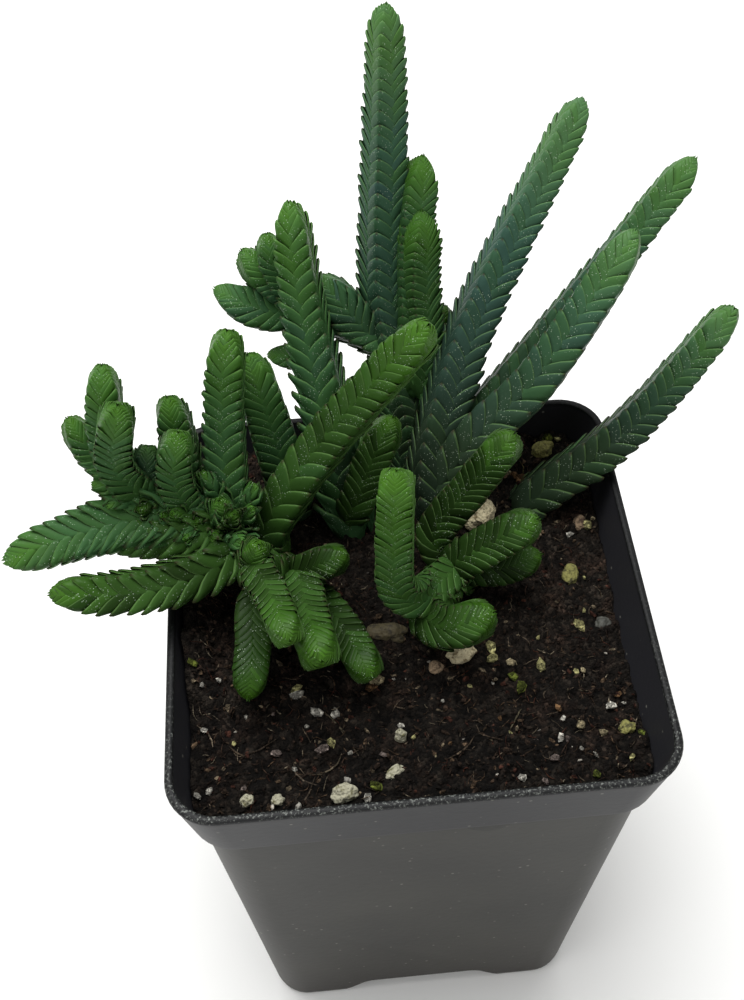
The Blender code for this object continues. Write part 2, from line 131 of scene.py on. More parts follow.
def keep_colours(item, name, colours):
    """Stores four values with each point of a mesh."""
    store = item.data.attributes.new(name, "FLOAT_COLOR", "POINT")
    store.data.foreach_set("color", np.array(colours, np.float32).ravel())


# %% Helpers for materials
def linear(code):
    """An sRGB hex colour as linear red, green, blue and alpha."""
    values = [int(code[i:i + 2], 16) / 255 for i in (1, 3, 5)]
    return (*[v / 12.92 if v <= 0.04045 else ((v + 0.055) / 1.055) ** 2.4 for v in values], 1)


def add_node(tree, kind, sockets=None, stops=None, **settings):
    """Adds a node, with its options, its sockets' values or links, and a ramp's colours."""
    node = tree.nodes.new("ShaderNode" + kind)
    for key, value in settings.items():
        setattr(node, key, value)
    for key, value in (sockets or {}).items():
        if isinstance(value, bpy.types.Node):
            value = value.outputs[0]
        if isinstance(value, bpy.types.NodeSocket):
            tree.links.new(value, node.inputs[key])
        else:
            node.inputs[key].default_value = linear(value) if isinstance(value, str) else value
    if stops:
        ramp = node.color_ramp
        while len(ramp.elements) < len(stops):
            ramp.elements.new(0.5)
        for element, (place, code) in zip(ramp.elements, stops):
            element.position = place
            element.color = linear(code)
    return node


def new_material(name, roughness, ior=1.5):
    """An empty Principled material, and its tree and shader."""
    material = bpy.data.materials.new(name)
    material.use_nodes = True
    tree = material.node_tree
    shader = tree.nodes["Principled BSDF"]
    shader.inputs["Roughness"].default_value = roughness
    shader.inputs["IOR"].default_value = ior
    return material, tree, shader


# %% [markdown]
# ## The camera comes first
#
# The camera stands where the photograph was taken, found from the four corners of the pot's rim and
# base. It looks down at about 48 degrees. Small stones are then placed one by one: each is named by
# the pixel where it shows, and the line from the camera through that pixel is followed down to the
# peat.

# %% Camera
AZIMUTH = math.radians(-5.67)
ELEVATION = math.radians(47.92)
EYE = (-0.01088, -0.1195, 0.25613)
LENS = 50.33
SENSOR = 36
SHIFT = (-0.041, -0.08)
IMAGE_HEIGHT = 1000
IMAGE_CENTRE = (372, 500)

camera = bpy.data.objects.new("camera", bpy.data.cameras.new("camera"))
bpy.context.scene.collection.objects.link(camera)
backwards = Vector((math.sin(AZIMUTH) * math.cos(ELEVATION),
                    -math.cos(AZIMUTH) * math.cos(ELEVATION), math.sin(ELEVATION)))
rightwards = Vector((math.cos(AZIMUTH), math.sin(AZIMUTH), 0))
upwards = backwards.cross(rightwards)
camera.matrix_world = Matrix((rightwards, upwards, backwards)).transposed().to_4x4()
camera.location = EYE
camera.data.lens = LENS
camera.data.sensor_width = SENSOR
camera.data.shift_x, camera.data.shift_y = SHIFT
bpy.context.scene.camera = camera

PEAT_LEVEL = 79.6
BANK_HEIGHT = 5.2
BANK_FOOT = 22
BANK_WIDTH = 9
BANK_REACH = 14
SIGHT_START = 80.0
SIGHT_STEPS = 4


def peat_height(x, y):
    """Height of the peat: low at the right, higher at the back, banked up at the left wall."""
    lie = PEAT_LEVEL + 0.035 * y + 0.0016 * y * y
    lie -= 0.05 * x * math.exp(-(y / 22) ** 2) + 0.0012 * x * x
    bank = min(max((-x - BANK_FOOT) / BANK_WIDTH, 0), 1) ** 2
    lie += BANK_HEIGHT * bank * math.exp(-((y - 1) / BANK_REACH) ** 4)
    lie += 0.55 * noise.noise(Vector((x, y, 0)) / 4.5)
    return lie + 0.25 * noise.noise(Vector((x, y, 9)) / 2)


def under_pixel(px, py):
    """Where the peat shows at a pixel of the photograph, in millimetres."""
    focal = LENS / SENSOR * IMAGE_HEIGHT
    across = px - IMAGE_CENTRE[0] + SHIFT[0] * IMAGE_HEIGHT
    down = py - IMAGE_CENTRE[1] - SHIFT[1] * IMAGE_HEIGHT
    ray = rightwards * across - upwards * down - backwards * focal
    eye = camera.location / MM
    height = SIGHT_START
    for _ in range(SIGHT_STEPS):
        spot = eye + ray * ((height - eye.z) / ray.z)
        height = peat_height(spot.x, spot.y)
    return spot.x, spot.y


print("middle of the front edge:", under_pixel(420, 790))

# %% [markdown]
# ## How the stems grow
#
# A watch chain stem is a pencil-thin stalk hidden under pairs of scale leaves. Each pair stands
# crosswise to the one below, so the leaves line up in four ranks, like the corners of a square bar.
# Seen on a corner they make a chain of arrow heads, and seen on a flat side a braid: each leaf runs
# down from its tip at a corner to the groove at the middle of the side. These are the same stems as
# the solids have: the radius at the base and at the tip, and points up the middle. More values say
# how far the stem is rolled, how far its old leaves flare, how far apart the pairs sit in
# millimetres, its tone, and how long the round tip is for its radius. The tone is 0 for blue-grey,
# 0.35 for fresh green, 0.65 for yellow-green, 0.95 for deep green, and 1 for dry and brown. The
# deep green is darkened as painted shade, for stems that sit low under the others.

# %% The stems
Stem = namedtuple("Stem", "base tip roll flare step tone points dome", defaults=(2.1,))

BACK_SPRAY = (
    Stem(2.9, 3.0, 45, 0.3, 1.2, 0.2, ((3.5, 27, 0), (3, 29.5, 88), (1.5, 33, 96), (0, 36.3, 104))),
    Stem(3.4, 2.1, 31, 0.3, 1.25, 0.14,
         ((1, 34.5, 100), (0.3, 38, 109), (0.5, 40.7, 120), (1.3, 44, 135), (2, 47.5, 154.2))),
    Stem(2.9, 2.5, 24, 0.25, 0.95, 0.35,
         ((2.5, 33.5, 99), (4.2, 36.5, 106), (4.6, 40, 118), (6.6, 42.5, 132.3))),
    Stem(3.1, 2.7, 40, 0.3, 0.95, 0.45,
         ((4, 32, 94), (5.4, 35.5, 102), (5.2, 37.8, 114.5), (6.1, 38.8, 125.2))),
    Stem(3.0, 2.7, 8, 0.3, 1.0, 0.3,
         ((1, 35, 102), (-6, 37, 106), (-12.5, 39, 108.5), (-17, 40.3, 112.5), (-20.7, 41, 118))),
    Stem(2.9, 2.7, 0, 0.4, 0.95, 0.3, ((-11, 38.7, 107), (-18.5, 38.3, 108), (-25.4, 40.3, 111.5))),
    Stem(2.4, 2.1, 0, 0.3, 0.85, 0.35, ((-13, 38.5, 109), (-16, 39.5, 116), (-16.7, 40.2, 121.7))),
    Stem(3.2, 2.8, 0, 0.5, 1.05, 0.2, ((-2.5, 36, 103.5), (-6, 37, 108.7), (-9.6, 38.2, 114.3))),
    Stem(2.2, 2.0, 0, 0.3, 0.85, 0.5,
         ((-8.5, 37, 105.5), (-12.5, 34.5, 102), (-18.2, 35.2, 101.5))),
    Stem(2.2, 1.8, 0, 0.5, 0.85, 0.9, ((3.5, 31.5, 91), (6.8, 36, 94.5), (10, 40, 105))),
)
RIGHT_SPRAY = (
    Stem(3.9, 2.3, 22, 0.2, 1.4, 0.0,
         ((6, 18.5, 0), (6.5, 23, 88), (11, 31.3, 100), (17, 39, 110.5), (32, 54, 132.5))),
    Stem(3.8, 2.9, -2, 0.15, 1.6, 0.12,
         ((8, 20.5, 85), (13.6, 23.3, 92.4), (22.3, 26.3, 100.4), (31.3, 31.2, 112.6),
          (37.3, 34.7, 122.5))),
    Stem(3.1, 2.6, 8, 0.15, 1.35, 0.15,
         ((8, 24.5, 88), (18, 30.3, 94.7), (34.7, 39.9, 109.7), (48.4, 46.3, 126))),
)
LOW_RIGHT_STEM = (
    Stem(3.6, 2.4, 10, 0.2, 1.6, 0.1,
         ((21.5, 19.3, 0), (23.5, 19.8, 81.7), (32.5, 20.3, 90), (39.5, 20.7, 99.5),
          (48.9, 20, 119.5))),
)
MIDDLE_SPRAY = (
    Stem(4.3, 2.4, -14, 0.75, 1.65, 0.33,
         ((-7, 18, 0), (-9.7, 25.5, 97), (-12, 33, 113), (-13, 37.5, 129.6))),
    Stem(3.0, 2.8, 0, 0.2, 0.95, 0.8,
         ((-7, 17.5, 83), (-5.5, 17.2, 88), (-3.5, 18.7, 93.5), (0, 20, 101.7))),
)
LONG_FRONT_STEM = (
    Stem(3.7, 2.9, -8, 0.05, 1.8, 0.7,
         ((-20, 12.3, 0), (-19.8, 13.5, 86), (-14.5, 14.8, 96), (-7.5, 15, 107.5), (4, 9.5, 130.6))),
)
INNER_LEFT_STEM = (
    Stem(3.6, 3.1, 0, 0.2, 1.25, 0.34,
         ((-16.5, 21.5, 0), (-17, 21.5, 89), (-18.7, 23.3, 100), (-20.7, 24.5, 112.5))),
)

DRY = 1

# Tone, foot and head of the tiny rosettes crowded on the left crown
CROWN_SHOOTS = (
    (0.9, (-29.5, 11, 92.5), (-30, 7.5, 96)), (0.4, (-33.5, 11.5, 93), (-34.5, 8.5, 97)),
    (0.9, (-36.5, 12.5, 95), (-37.5, 8.5, 98.5)), (0.6, (-27.5, 9, 90.5), (-27, 5.5, 95)),
    (0.4, (-24.5, 10.5, 91.5), (-21.5, 9.5, 96)), (0.42, (-31, 9, 92), (-31.5, 5.5, 95)),
    (0.38, (-35, 10, 93), (-36, 6.8, 95.5)), (0.4, (-24, 8, 90), (-21.5, 4.8, 93.5)),
    (0.38, (-27, 12.5, 95), (-28.5, 13.3, 100.5)), (0.4, (-23.5, 11, 93), (-21, 12.3, 98)),
    (0.4, (-38.5, 12.5, 97), (-42.3, 9.8, 98.3)), (0.42, (-26.5, 7.5, 91), (-23, 3.8, 95.8)),
    (0.4, (-39, 13, 98), (-43.5, 15.5, 101.5)), (0.4, (-31, 12.5, 94), (-30.5, 10.8, 98)),
    (DRY, (-33, 10.5, 93), (-33.3, 8, 94.6)), (DRY, (-30.5, 10, 92), (-29.6, 8.8, 94.4)),
    (0.4, (-34, 13, 95), (-34.3, 11.2, 99)), (0.38, (-29, 10.5, 92), (-32.3, 7.5, 95.5)),
)
LEFT_SPRAY = (
    Stem(3.2, 2.7, -5, 0.55, 1.4, 0.38,
         ((-27, 13, 0), (-25.7, 14, 92), (-25.1, 17, 101), (-24.3, 19.5, 110), (-22.7, 20.7, 121.3))),
    Stem(2.9, 2.5, -8, 0.3, 1.1, 0.35,
         ((-26.5, 13, 89), (-32, 12.7, 94), (-38, 13.5, 97.5), (-41, 15, 106), (-40, 17.5, 119.5))),
    Stem(2.8, 2.6, 0, 0.3, 1.0, 0.45,
         ((-38.5, 13.2, 97), (-40.3, 12.7, 105), (-37.7, 10.7, 118.5))),
    Stem(2.5, 2.2, 0, 0.6, 0.9, 0.5, ((-39.5, 14.5, 98), (-44, 17.3, 101.5), (-46.8, 19, 107.8))),
    Stem(2.7, 2.4, -8, 0.35, 1.0, 0.45, ((-31.3, 15, 94), (-31.6, 17.3, 102), (-32.1, 18, 111.7))),
    Stem(2.7, 2.5, 0, 0.3, 0.95, 0.45, ((-31.5, 12, 93), (-32.2, 12, 102), (-30.5, 11.3, 111.5))),
    Stem(2.0, 1.8, 0, 0.6, 0.8, 0.2, ((-35.5, 13.5, 96), (-36.3, 14.3, 101), (-35.5, 14.3, 105.7))),
    Stem(3.9, 2.8, 5, 1.0, 1.35, 0.4,
         ((-27, 11.5, 92.7), (-37, 10.7, 93.8), (-47, 9, 93.3), (-57.8, 6.2, 92.2))),
    Stem(2.6, 2.4, 0, 1.1, 1.25, 0.68, ((-26, 9.5, 92), (-34, 7.5, 92.7), (-44, 9.3, 91.8))),
    Stem(3.15, 2.5, -10, 0.75, 1.4, 0.78,
         ((-26.5, 10, 89.5), (-27.5, 3, 91.7), (-38, -1.8, 93.5), (-50, -3, 96))),
    Stem(2.5, 1.9, 10, 1.6, 1.05, 0.48, ((-26, 11, 90.5), (-26.2, 9, 98.8))),
    Stem(1.7, 1.3, 30, 3, 1.0, 0.9, ((-25.5, 9.5, 93), (-24, 6.5, 98.5))),
    Stem(1.6, 1.2, 15, 3, 1.0, 0.55, ((-31.5, 11, 93.5), (-33, 8, 98))),
    Stem(1.6, 1.3, 0, 2, 1.0, 0.5, ((-38, 13.5, 97), (-44.5, 13.5, 99.5))),
    *(Stem(1.6, 1.1, 20, 3, 1.1, tone, (foot, head)) for tone, foot, head in CROWN_SHOOTS),
)
FRONT_LEFT_SPRAY = (
    Stem(2.8, 2.7, 0, 0.1, 0.85, 0.95,
         ((-15.5, 6, 0), (-18.5, 3, 88), (-22, -3, 89.5), (-22.7, -9, 87.7),
          (-23.7, -15.9, 85.3)), 1.4),
    Stem(2.8, 2.4, 0, 0.15, 0.95, 0.78,
         ((-18, 3.3, 87), (-20.9, 0, 92.8), (-19, -7.7, 96.6), (-16.9, -16.9, 100.5)), 1.5),
    Stem(3.2, 3.0, 0, 0.15, 0.95, 0.76,
         ((-16.5, 4.5, 84), (-15.4, 0.2, 88.5), (-14.4, -7.7, 91.5), (-13, -17.4, 95.7)), 1.4),
    Stem(2.8, 2.7, 0, 0.12, 0.9, 0.88,
         ((-15.5, 4.5, 83), (-11.9, -1.5, 84.8), (-8.9, -7.6, 85.6), (-6.4, -15.3, 87.2)), 1.4),
    Stem(2.7, 2.4, 0, 0.2, 0.85, 0.95, ((-17, 4, 86), (-13.5, 2, 90.5), (-8.5, 1, 94.2)), 1.4),
    Stem(2.1, 1.9, 0, 0.5, 0.8, 0.8, ((-19, 2.5, 89), (-21.5, 1.5, 94), (-20.7, 0.3, 99)), 1.4),
)
FRONT_SPRAY = (
    Stem(3.0, 2.6, -3, 0.1, 1.0, 0.6,
         ((8, 6, 0), (7, 3, 85), (1.5, -3.5, 89), (-1.7, -5, 94.5), (-2, -4.7, 104),
          (-1.5, -3.7, 117.6)), 1.4),
    Stem(3.2, 2.8, 0, 0.12, 1.0, 0.9,
         ((7.5, 5, 83), (5.3, 8.3, 88), (10.4, 9.5, 96.7), (16.5, 10.4, 107)), 1.4),
    Stem(3.3, 3.0, 0, 0.12, 0.95, 0.84, ((7, 4, 85), (12.2, 3, 91), (19.2, 2.2, 97.5)), 1.4),
    Stem(2.8, 2.6, 0, 0.1, 0.8, 0.9, ((8, 4.5, 84), (15, 3.3, 84.8), (20.4, 3.3, 87.5)), 1.4),
    Stem(3.4, 3.2, 0, 0.1, 0.9, 0.82,
         ((7, 3.5, 84), (3.5, -4.5, 85.5), (6, -8.7, 88.3), (11.3, -10, 92.7)), 1.4),
)
SPRAYS = {
    "spray_back": BACK_SPRAY,
    "spray_right": RIGHT_SPRAY,
    "stem_low_right": LOW_RIGHT_STEM,
    "spray_middle": MIDDLE_SPRAY,
    "stem_long_front": LONG_FRONT_STEM,
    "stem_inner_left": INNER_LEFT_STEM,
    "spray_left": LEFT_SPRAY,
    "spray_front_left": FRONT_LEFT_SPRAY,
    "spray_front": FRONT_SPRAY,
}
print("leafy stems:", sum(len(stems) for stems in SPRAYS.values()))

# %% [markdown]
# ## A smooth line for each stem
#
# A stem is drawn through its few points by a Catmull-Rom curve, which passes through each of them.
# Beside each point on the line two more directions are kept, one along the stem and one to its side.
# The side is the direction that faces the camera, and the stem's own roll is counted from there.
# The stem's skin is then measured by its own length: up the side, and over the round tip. Its
# section is a square with soft corners, which turns round towards the tip.

# %% Grow a line
PATH_STEPS = 16
ROOT_DEPTH = 6.0
FACE_REACH = 0.88
SQUARENESS = 0.9
ROUNDING = 2.2
MIDDLE_SWELL = 0.1
CLOSED_SHARE = 0.94
APEX_RISE = 0.5


def tip_way(stem):
    """The way over a stem's round tip, measured on its skin."""
    return math.pi / 2 * math.sqrt(((stem.dome * stem.tip) ** 2 + stem.tip ** 2) / 2)


def grow_line(stem, rooted):
    """The stem's centreline, its directions, and the distance to each of its points."""
    points = [Vector(point) for point in stem.points]
    if rooted:
        points[0].z = peat_height(points[0].x, points[0].y)
        way = (points[1] - points[0]).normalized()
        points.insert(0, points[0] - way * ROOT_DEPTH)
    ends = [2 * points[0] - points[1], *points, 2 * points[-1] - points[-2]]
    line = []
    for a, b, c, d in zip(ends, ends[1:], ends[2:], ends[3:]):
        for k in range(PATH_STEPS):
            t = k / PATH_STEPS
            line.append((2 * b + (c - a) * t + (2 * a - 5 * b + 4 * c - d) * t * t
                         + (3 * b - 3 * c + d - a) * t ** 3) / 2)
    line.append(points[-1])
    last = len(line) - 1
    ways = [(line[min(k + 1, last)] - line[max(k - 1, 0)]).normalized() for k in range(last + 1)]
    sides = []
    for spot, way in zip(line, ways):
        look = camera.location / MM - spot
        sides.append((look - way * look.dot(way)).normalized())
    marks = [0.0]
    for a, b in zip(line, line[1:]):
        marks.append(marks[-1] + (b - a).length)
    return np.array(marks), np.array(line), np.array(ways), np.array(sides)


def place_on(line, stem, reach, turn, lift):
    """Points on the stem: reach is measured up its skin, turn about it, and lift out from its skin."""
    marks, centres, ways, sides = line
    length = marks[-1]
    dome = stem.dome * stem.tip
    arc = tip_way(stem)
    edge = length - dome
    swing = np.clip((reach - edge) / arc, 0, CLOSED_SHARE) * math.pi / 2
    beyond = np.clip(reach - edge - CLOSED_SHARE * arc, 0, None)
    along = np.where(reach < edge, reach, edge + dome * np.sin(swing))
    share = np.clip(along / length, 0, 1)
    radius = (stem.base + (stem.tip - stem.base) * share) * (1 + MIDDLE_SWELL * np.sin(np.pi * share))
    radius = radius * np.cos(swing)
    corner = np.cos(np.pi / 4 - np.abs(turn % (np.pi / 2) - np.pi / 4))
    radius = radius * FACE_REACH / corner ** (SQUARENESS * np.cos(swing) ** ROUNDING)
    lean, stand = np.sin(swing) * stem.tip, np.cos(swing) * dome
    size = np.hypot(lean, stand)
    radius = radius + lift * stand / size
    rise = lift * lean / size + APEX_RISE * beyond

    def between(values):
        return np.stack([np.interp(along, marks, values[:, k]) for k in range(3)], -1)

    def unit(vectors):
        return vectors / np.linalg.norm(vectors, axis=-1, keepdims=True)

    centre, way, side = between(centres), unit(between(ways)), between(sides)
    side = unit(side - way * np.sum(side * way, -1, keepdims=True))
    angle = (turn + math.radians(stem.roll))[..., None]
    out = side * np.cos(angle) + np.cross(way, side) * np.sin(angle)
    short = np.minimum(along, 0)[..., None]
    return centre + way * (rise[..., None] + short) + out * radius[..., None]


# %% [markdown]
# ## One scale leaf
#
# A scale leaf is a thick little boomerang that clasps the corner of the stem. It starts as an
# eight-sided rod lying across, cut into eight lengths. Its section is then pressed into a leaf's:
# a foot that hides under older leaves, a bulging back, and a rounded margin. The leaf stays flat
# here: across is measured in half sides of the stem, and along from foot to margin.

# %% Model the leaf
LEAF_SECTION = ((0, 0), (0, 0.35), (0.42, 0.8), (0.62, 1), (0.8, 0.98), (0.94, 0.8),
                (1, 0.42), (0.95, 0))
LEAF_ACROSS = (-1.2, -0.92, -0.58, -0.24, 0, 0.24, 0.58, 0.92, 1.2)
LEAF_SIDES = len(LEAF_SECTION)
LEAF_LENGTHS = len(LEAF_ACROSS) - 1

clear_selection()
bpy.ops.mesh.primitive_cylinder_add(vertices=LEAF_SIDES, radius=0.5, depth=2,
                                    rotation=(0, math.pi / 2, 0))
leaf = press_in(bpy.context.object, "scale_leaf")
edit_edges()
grid = bmesh.from_edit_mesh(leaf.data)
for edge in grid.edges:
    edge.select_set(abs(edge.verts[0].co.x - edge.verts[1].co.x) > 1)
bmesh.update_edit_mesh(leaf.data)
bpy.ops.mesh.subdivide(number_cuts=LEAF_LENGTHS - 1)
bpy.ops.object.mode_set(mode="OBJECT")
for vertex in leaf.data.vertices:
    column = round((vertex.co.x + 1) / 2 * LEAF_LENGTHS)
    angle = math.pi - math.atan2(vertex.co.z, vertex.co.y)
    spot = round(angle / (2 * math.pi) * LEAF_SIDES) % LEAF_SIDES
    vertex.co = (LEAF_ACROSS[column], *LEAF_SECTION[spot])
edit_edges()
leave_edit()
leaf_points, leaf_faces = taken_apart(leaf)
print("one leaf:", len(leaf_points), "points,", len(leaf_faces), "faces")

# %% [markdown]
# ## Wrapping the leaves round a stem
#
# Every copy is measured along the stem's own skin, so that leaves follow each bend and close over
# the tip. The margin runs from the groove up to the leaf's tip at the corner, at about 45 degrees.
# A leaf's back rises towards its margin and stands a leaf's thickness over the next one, which
# makes the dark lines of the braid. Old leaves near the foot are longer, pointed and stand off.
# Each point also keeps four values for its colour: how young it is, how near the margin, how far
# from the corner, and its tone.

# %% Wrap the leaves
LEAF_RISE = 0.78
LEAF_THICKNESS = 0.085
HIDDEN_SHARE = 0.6
YOUNG_SHARE = 0.45
GREENEST = 0.93
TIP_CLOSING = 0.45
ROWS_END = 0.96
STALK_END = 0.84
STALK_SUNK = 2.7
TURN_JITTER = 0.025
ROW_JITTER = 0.05
TONE_JITTER = 0.06
TOOTH = (0.03, 0.15)
TOOTH_JITTER = 0.03


def leaf_rows(stem, line, first):
    """Distances of the leaf pairs up the stem, closer together towards its tip."""
    length = line[0][-1]
    last = length - stem.dome * stem.tip + ROWS_END * tip_way(stem)
    rows, reach = [], first
    while reach < last:
        rows.append(reach)
        step = stem.step * (1 - TIP_CLOSING * reach / length)
        reach += step * min(1, 0.4 + (last - reach) / (5 * stem.tip))
    return np.array(rows)


def wrap_leaves(stem, line, first):
    """All leaves of a stem: points in millimetres, and the four colour values of each."""
    rows = leaf_rows(stem, line, first)
    length = line[0][-1]
    reach = np.repeat(rows, 2)
    count = len(reach)
    rank = np.tile([0, 2], len(rows)) + np.repeat(np.arange(len(rows)) % 2, 2)
    turn = np.pi / 4 + np.pi / 2 * rank + rng.normal(0, TURN_JITTER, count)
    reach = reach + rng.normal(0, ROW_JITTER, count) * stem.step
    spacing = 2 * np.repeat(np.append(np.diff(rows), stem.step * 0.5), 2)
    half = stem.base + (stem.tip - stem.base) * np.clip(reach / length, 0, 1)
    old = np.clip(stem.flare * (1 - reach / length), 0, 1) * rng.uniform(0.75, 1.25, count)
    left = np.clip((length - reach) / (1.6 * stem.tip), 0.35, 1)
    rise = LEAF_RISE * half * left * (1 + 0.3 * old) * rng.normal(1, 0.05, count)
    thick = LEAF_THICKNESS * spacing * (0.85 + 0.15 * left)
    across, foot_to_margin, depth = (leaf_points[:, k][None, :] for k in range(3))
    reach, spacing, half, old, rise, thick = (
        values[:, None] for values in (reach, spacing, half, old, rise, thick))
    span = np.abs(across)
    peak = np.where(span < 0.1, 1 + 0.5 * old, 1.0)
    margin = reach + rise * np.where(span <= 1, 1 - span ** 1.15, 1 - span) * peak
    up_skin = margin - (1 - foot_to_margin) * (1 + HIDDEN_SHARE) * spacing
    shown = foot_to_margin * (1 + HIDDEN_SHARE) - HIDDEN_SHARE
    drop = np.where(shown > 0, (1 - np.clip(shown, 0, 1)) ** 3, 1 - shown)
    tuck = np.clip(span / 1.2, 0, 1) ** 4
    lift = thick * ((depth - 1) * (1 - 0.8 * tuck) - 0.65 * drop - 0.9 * tuck)
    stand_off = np.sin(2.3 * np.clip(foot_to_margin, 0, 1) ** 3.2) * np.clip(1 - span, 0, 1) ** 2
    tooth = TOOTH[0] + TOOTH[1] * math.sqrt(min(stem.flare, 1))
    tooth = tooth + rng.normal(0, TOOTH_JITTER, (count, 1))
    tooth = tooth * (0.5 + 0.5 * left[:, None])
    lift = lift + half * stand_off * (tooth + 0.5 * old ** 1.5)
    points = place_on(line, stem, up_skin, turn[:, None] + across * np.pi / 4, lift)
    fresh = min(1, 0.85 + length / 60)
    young = fresh * np.clip(1 - (length - reach) / (YOUNG_SHARE * length), 0, 1)
    tone = stem.tone + rng.normal(0, TONE_JITTER, (count, 1))
    tone = np.clip(tone, 0, DRY if stem.tone == DRY else GREENEST)
    shades = np.stack(np.broadcast_arrays(young, foot_to_margin, span, tone), -1)
    return points.reshape(-1, 3), shades.reshape(-1, 4)


# %% The stalk under the leaves
STALK_RINGS = 28
STALK_SIDES = 12


def wrap_stalk(stem, line, first):
    """The plain stalk that closes the gaps between the leaves, from its foot to its round tip."""
    length = line[0][-1]
    end = length - stem.dome * stem.tip + STALK_END * tip_way(stem)
    rings = np.linspace(0, 1, STALK_RINGS)[:, None] * end
    turns = np.arange(STALK_SIDES)[None, :] * 2 * np.pi / STALK_SIDES
    sunk = STALK_SUNK * LEAF_THICKNESS * stem.step * (1 - TIP_CLOSING * np.clip(rings / length, 0, 1))
    bare = np.where(rings < first - 0.5, 0.2 * stem.base, 0)
    points = place_on(line, stem, rings + 0 * turns, turns + 0 * rings, -sunk - bare + 0 * turns)
    points = points.reshape(-1, 3)
    faces = []
    for ring in range(STALK_RINGS - 1):
        for k in range(STALK_SIDES):
            a, b = ring * STALK_SIDES + k, ring * STALK_SIDES + (k + 1) % STALK_SIDES
            faces.append([a, b, b + STALK_SIDES, a + STALK_SIDES])
    faces.append(list(reversed(range(STALK_SIDES))))
    faces.append([len(points) - STALK_SIDES + k for k in range(STALK_SIDES)])
    young = np.clip(1 - (length - rings) / (YOUNG_SHARE * length), 0, 1) + 0 * turns
    shades = np.stack(np.broadcast_arrays(young, 0, 0, stem.tone), -1)
    return points, shades.reshape(-1, 4), faces


# %% [markdown]
# ## The green of a fleshy leaf
#
# The leaf is waxy and a little translucent: deep blue-green where it is old, fresh yellow-green at
# the growing tips, with a paler margin, a dark brown point on old leaves, and tiny white specks. A
# pale blue bloom is partly the wax and partly painted sheen. Painted shade darkens the foot of each
# leaf where it tucks under the next, the leaves low among the stems, and the deepest-toned stems.
# The colour values kept by each point drive all of this, so it follows the leaves.

# %% Leaf material
leaf_green, tree, shader = new_material("waxy_leaf", 0.42, 1.45)
place = add_node(tree, "TexCoord").outputs["Object"]
stored = add_node(tree, "Attribute", attribute_name="leaf_place").outputs
parts = add_node(tree, "SeparateColor", {"Color": stored["Color"]}).outputs
young, along, span, tone = parts["Red"], parts["Green"], parts["Blue"], stored["Alpha"]
height = add_node(tree, "SeparateXYZ", {"Vector": place}).outputs["Z"]

# A scale counts cells in a metre: specks 0.35 mm apart, blotches of 6 mm, patches of 2 mm, and the
# skin's grain of 0.5 mm, which is coarser than the real one so that it shows
dots = add_node(tree, "TexVoronoi", {"Vector": place, "Scale": 2900})
blotches, patches, skin = (
    add_node(tree, "TexNoise", {"Vector": place, "Scale": scale, "Detail": detail})
    for scale, detail in ((170, 3), (420, 2), (2200, 2)))

# What is read, where its range starts and ends, and what comes out at both ends
LEAF_RANGES = {
    "youth": (young, 0.15, 0.95, 0, 1),
    "glow": (young, 0.7, 1, 0, 0.14),
    # Pale blue blotches: partly the leaves' waxy bloom, partly a painted sheen
    "bloom_and_sheen": (blotches, 0.45, 0.75, 0, 0.2),
    "bluish": (tone, 0.6, 0.2, 0, 1),
    # Leaves low down are dulled to dark olive: partly their age, partly painted shade among the stems
    "low_shade_and_age": (height, 0.115, 0.092, 0, 0.8),
    "bluest": (tone, 0.32, 0.18, 0, 1),
    # foot: the lower, tucked part of each shown leaf is darkened as painted shade where it slips under
    # the next
    "foot": (along, 0.36, 0.5, 0.78, 1),
    "margin": (along, 0.93, 0.985, 0, 0.26),
    "specks": (dots, 0.22, 0.1, 0, 1),
    "speckled": (patches, 0.47, 0.58, 0, 0.65),
    "point": (span, 0.14, 0.02, 0, 1),
    "end": (along, 0.84, 0.95, 0, 1),
    "old": (young, 0.9, 0.3, 0, 0.8),
}
share = {"tone": tone}
for name, (value, start, end, low, high) in LEAF_RANGES.items():
    share[name] = add_node(tree, "MapRange", {"Value": value, "From Min": start, "From Max": end,
                                              "To Min": low, "To Max": high})
share["youth"].interpolation_type = "SMOOTHSTEP"
for name, factor in (("glow", "tone"), ("bloom_and_sheen", "bluish"), ("low_shade_and_age", "bluest"),
                     ("specks", "speckled"), ("point", "end"), ("point", "old")):
    share[name] = add_node(tree, "Math", {0: share[name], 1: share[factor]}, operation="MULTIPLY")

# Old and young greens by tone, then each coat over the last; the dark end near 0.95 is partly painted
# shade
green, young_green = (add_node(tree, "ValToRGB", {"Fac": tone}, stops) for stops in (
    ((0, "#324e44"), (0.3, "#355832"), (0.65, "#335221"), (0.95, "#17260c"), (1, "#5d4c35")),
    ((0, "#476b3e"), (0.35, "#3d6622"), (0.65, "#365d16"), (0.95, "#1c380b"), (1, "#5d4c35"))))
for amount, coat, blend in (
        (share["youth"], young_green, "MIX"), (share["glow"], "#5a861c", "MIX"),
        (share["bloom_and_sheen"], "#3a5f50", "MIX"), (share["low_shade_and_age"], "#232b1b", "MIX"),
        (1, share["foot"], "MULTIPLY"), (share["margin"], "#7aa05c", "MIX"),
        (share["specks"], "#c5d6bf", "MIX"), (share["point"], "#291c17", "MIX")):
    green = add_node(tree, "MixRGB", {"Fac": amount, "Color1": green, "Color2": coat},
                     blend_type=blend)
gloss = add_node(tree, "MapRange", {"Value": share["youth"], "To Min": 0.08, "To Max": 0.15})
bump = add_node(tree, "Bump", {"Height": skin, "Strength": 0.25, "Distance": 0.00012})
tree.links.new(green.outputs["Color"], shader.inputs["Base Color"])
tree.links.new(gloss.outputs["Result"], shader.inputs["Specular IOR Level"])
tree.links.new(bump.outputs["Normal"], shader.inputs["Normal"])
print("leaf material:", len(tree.nodes), "nodes")

# %% Build the sprays
LEAF_START = 1.2


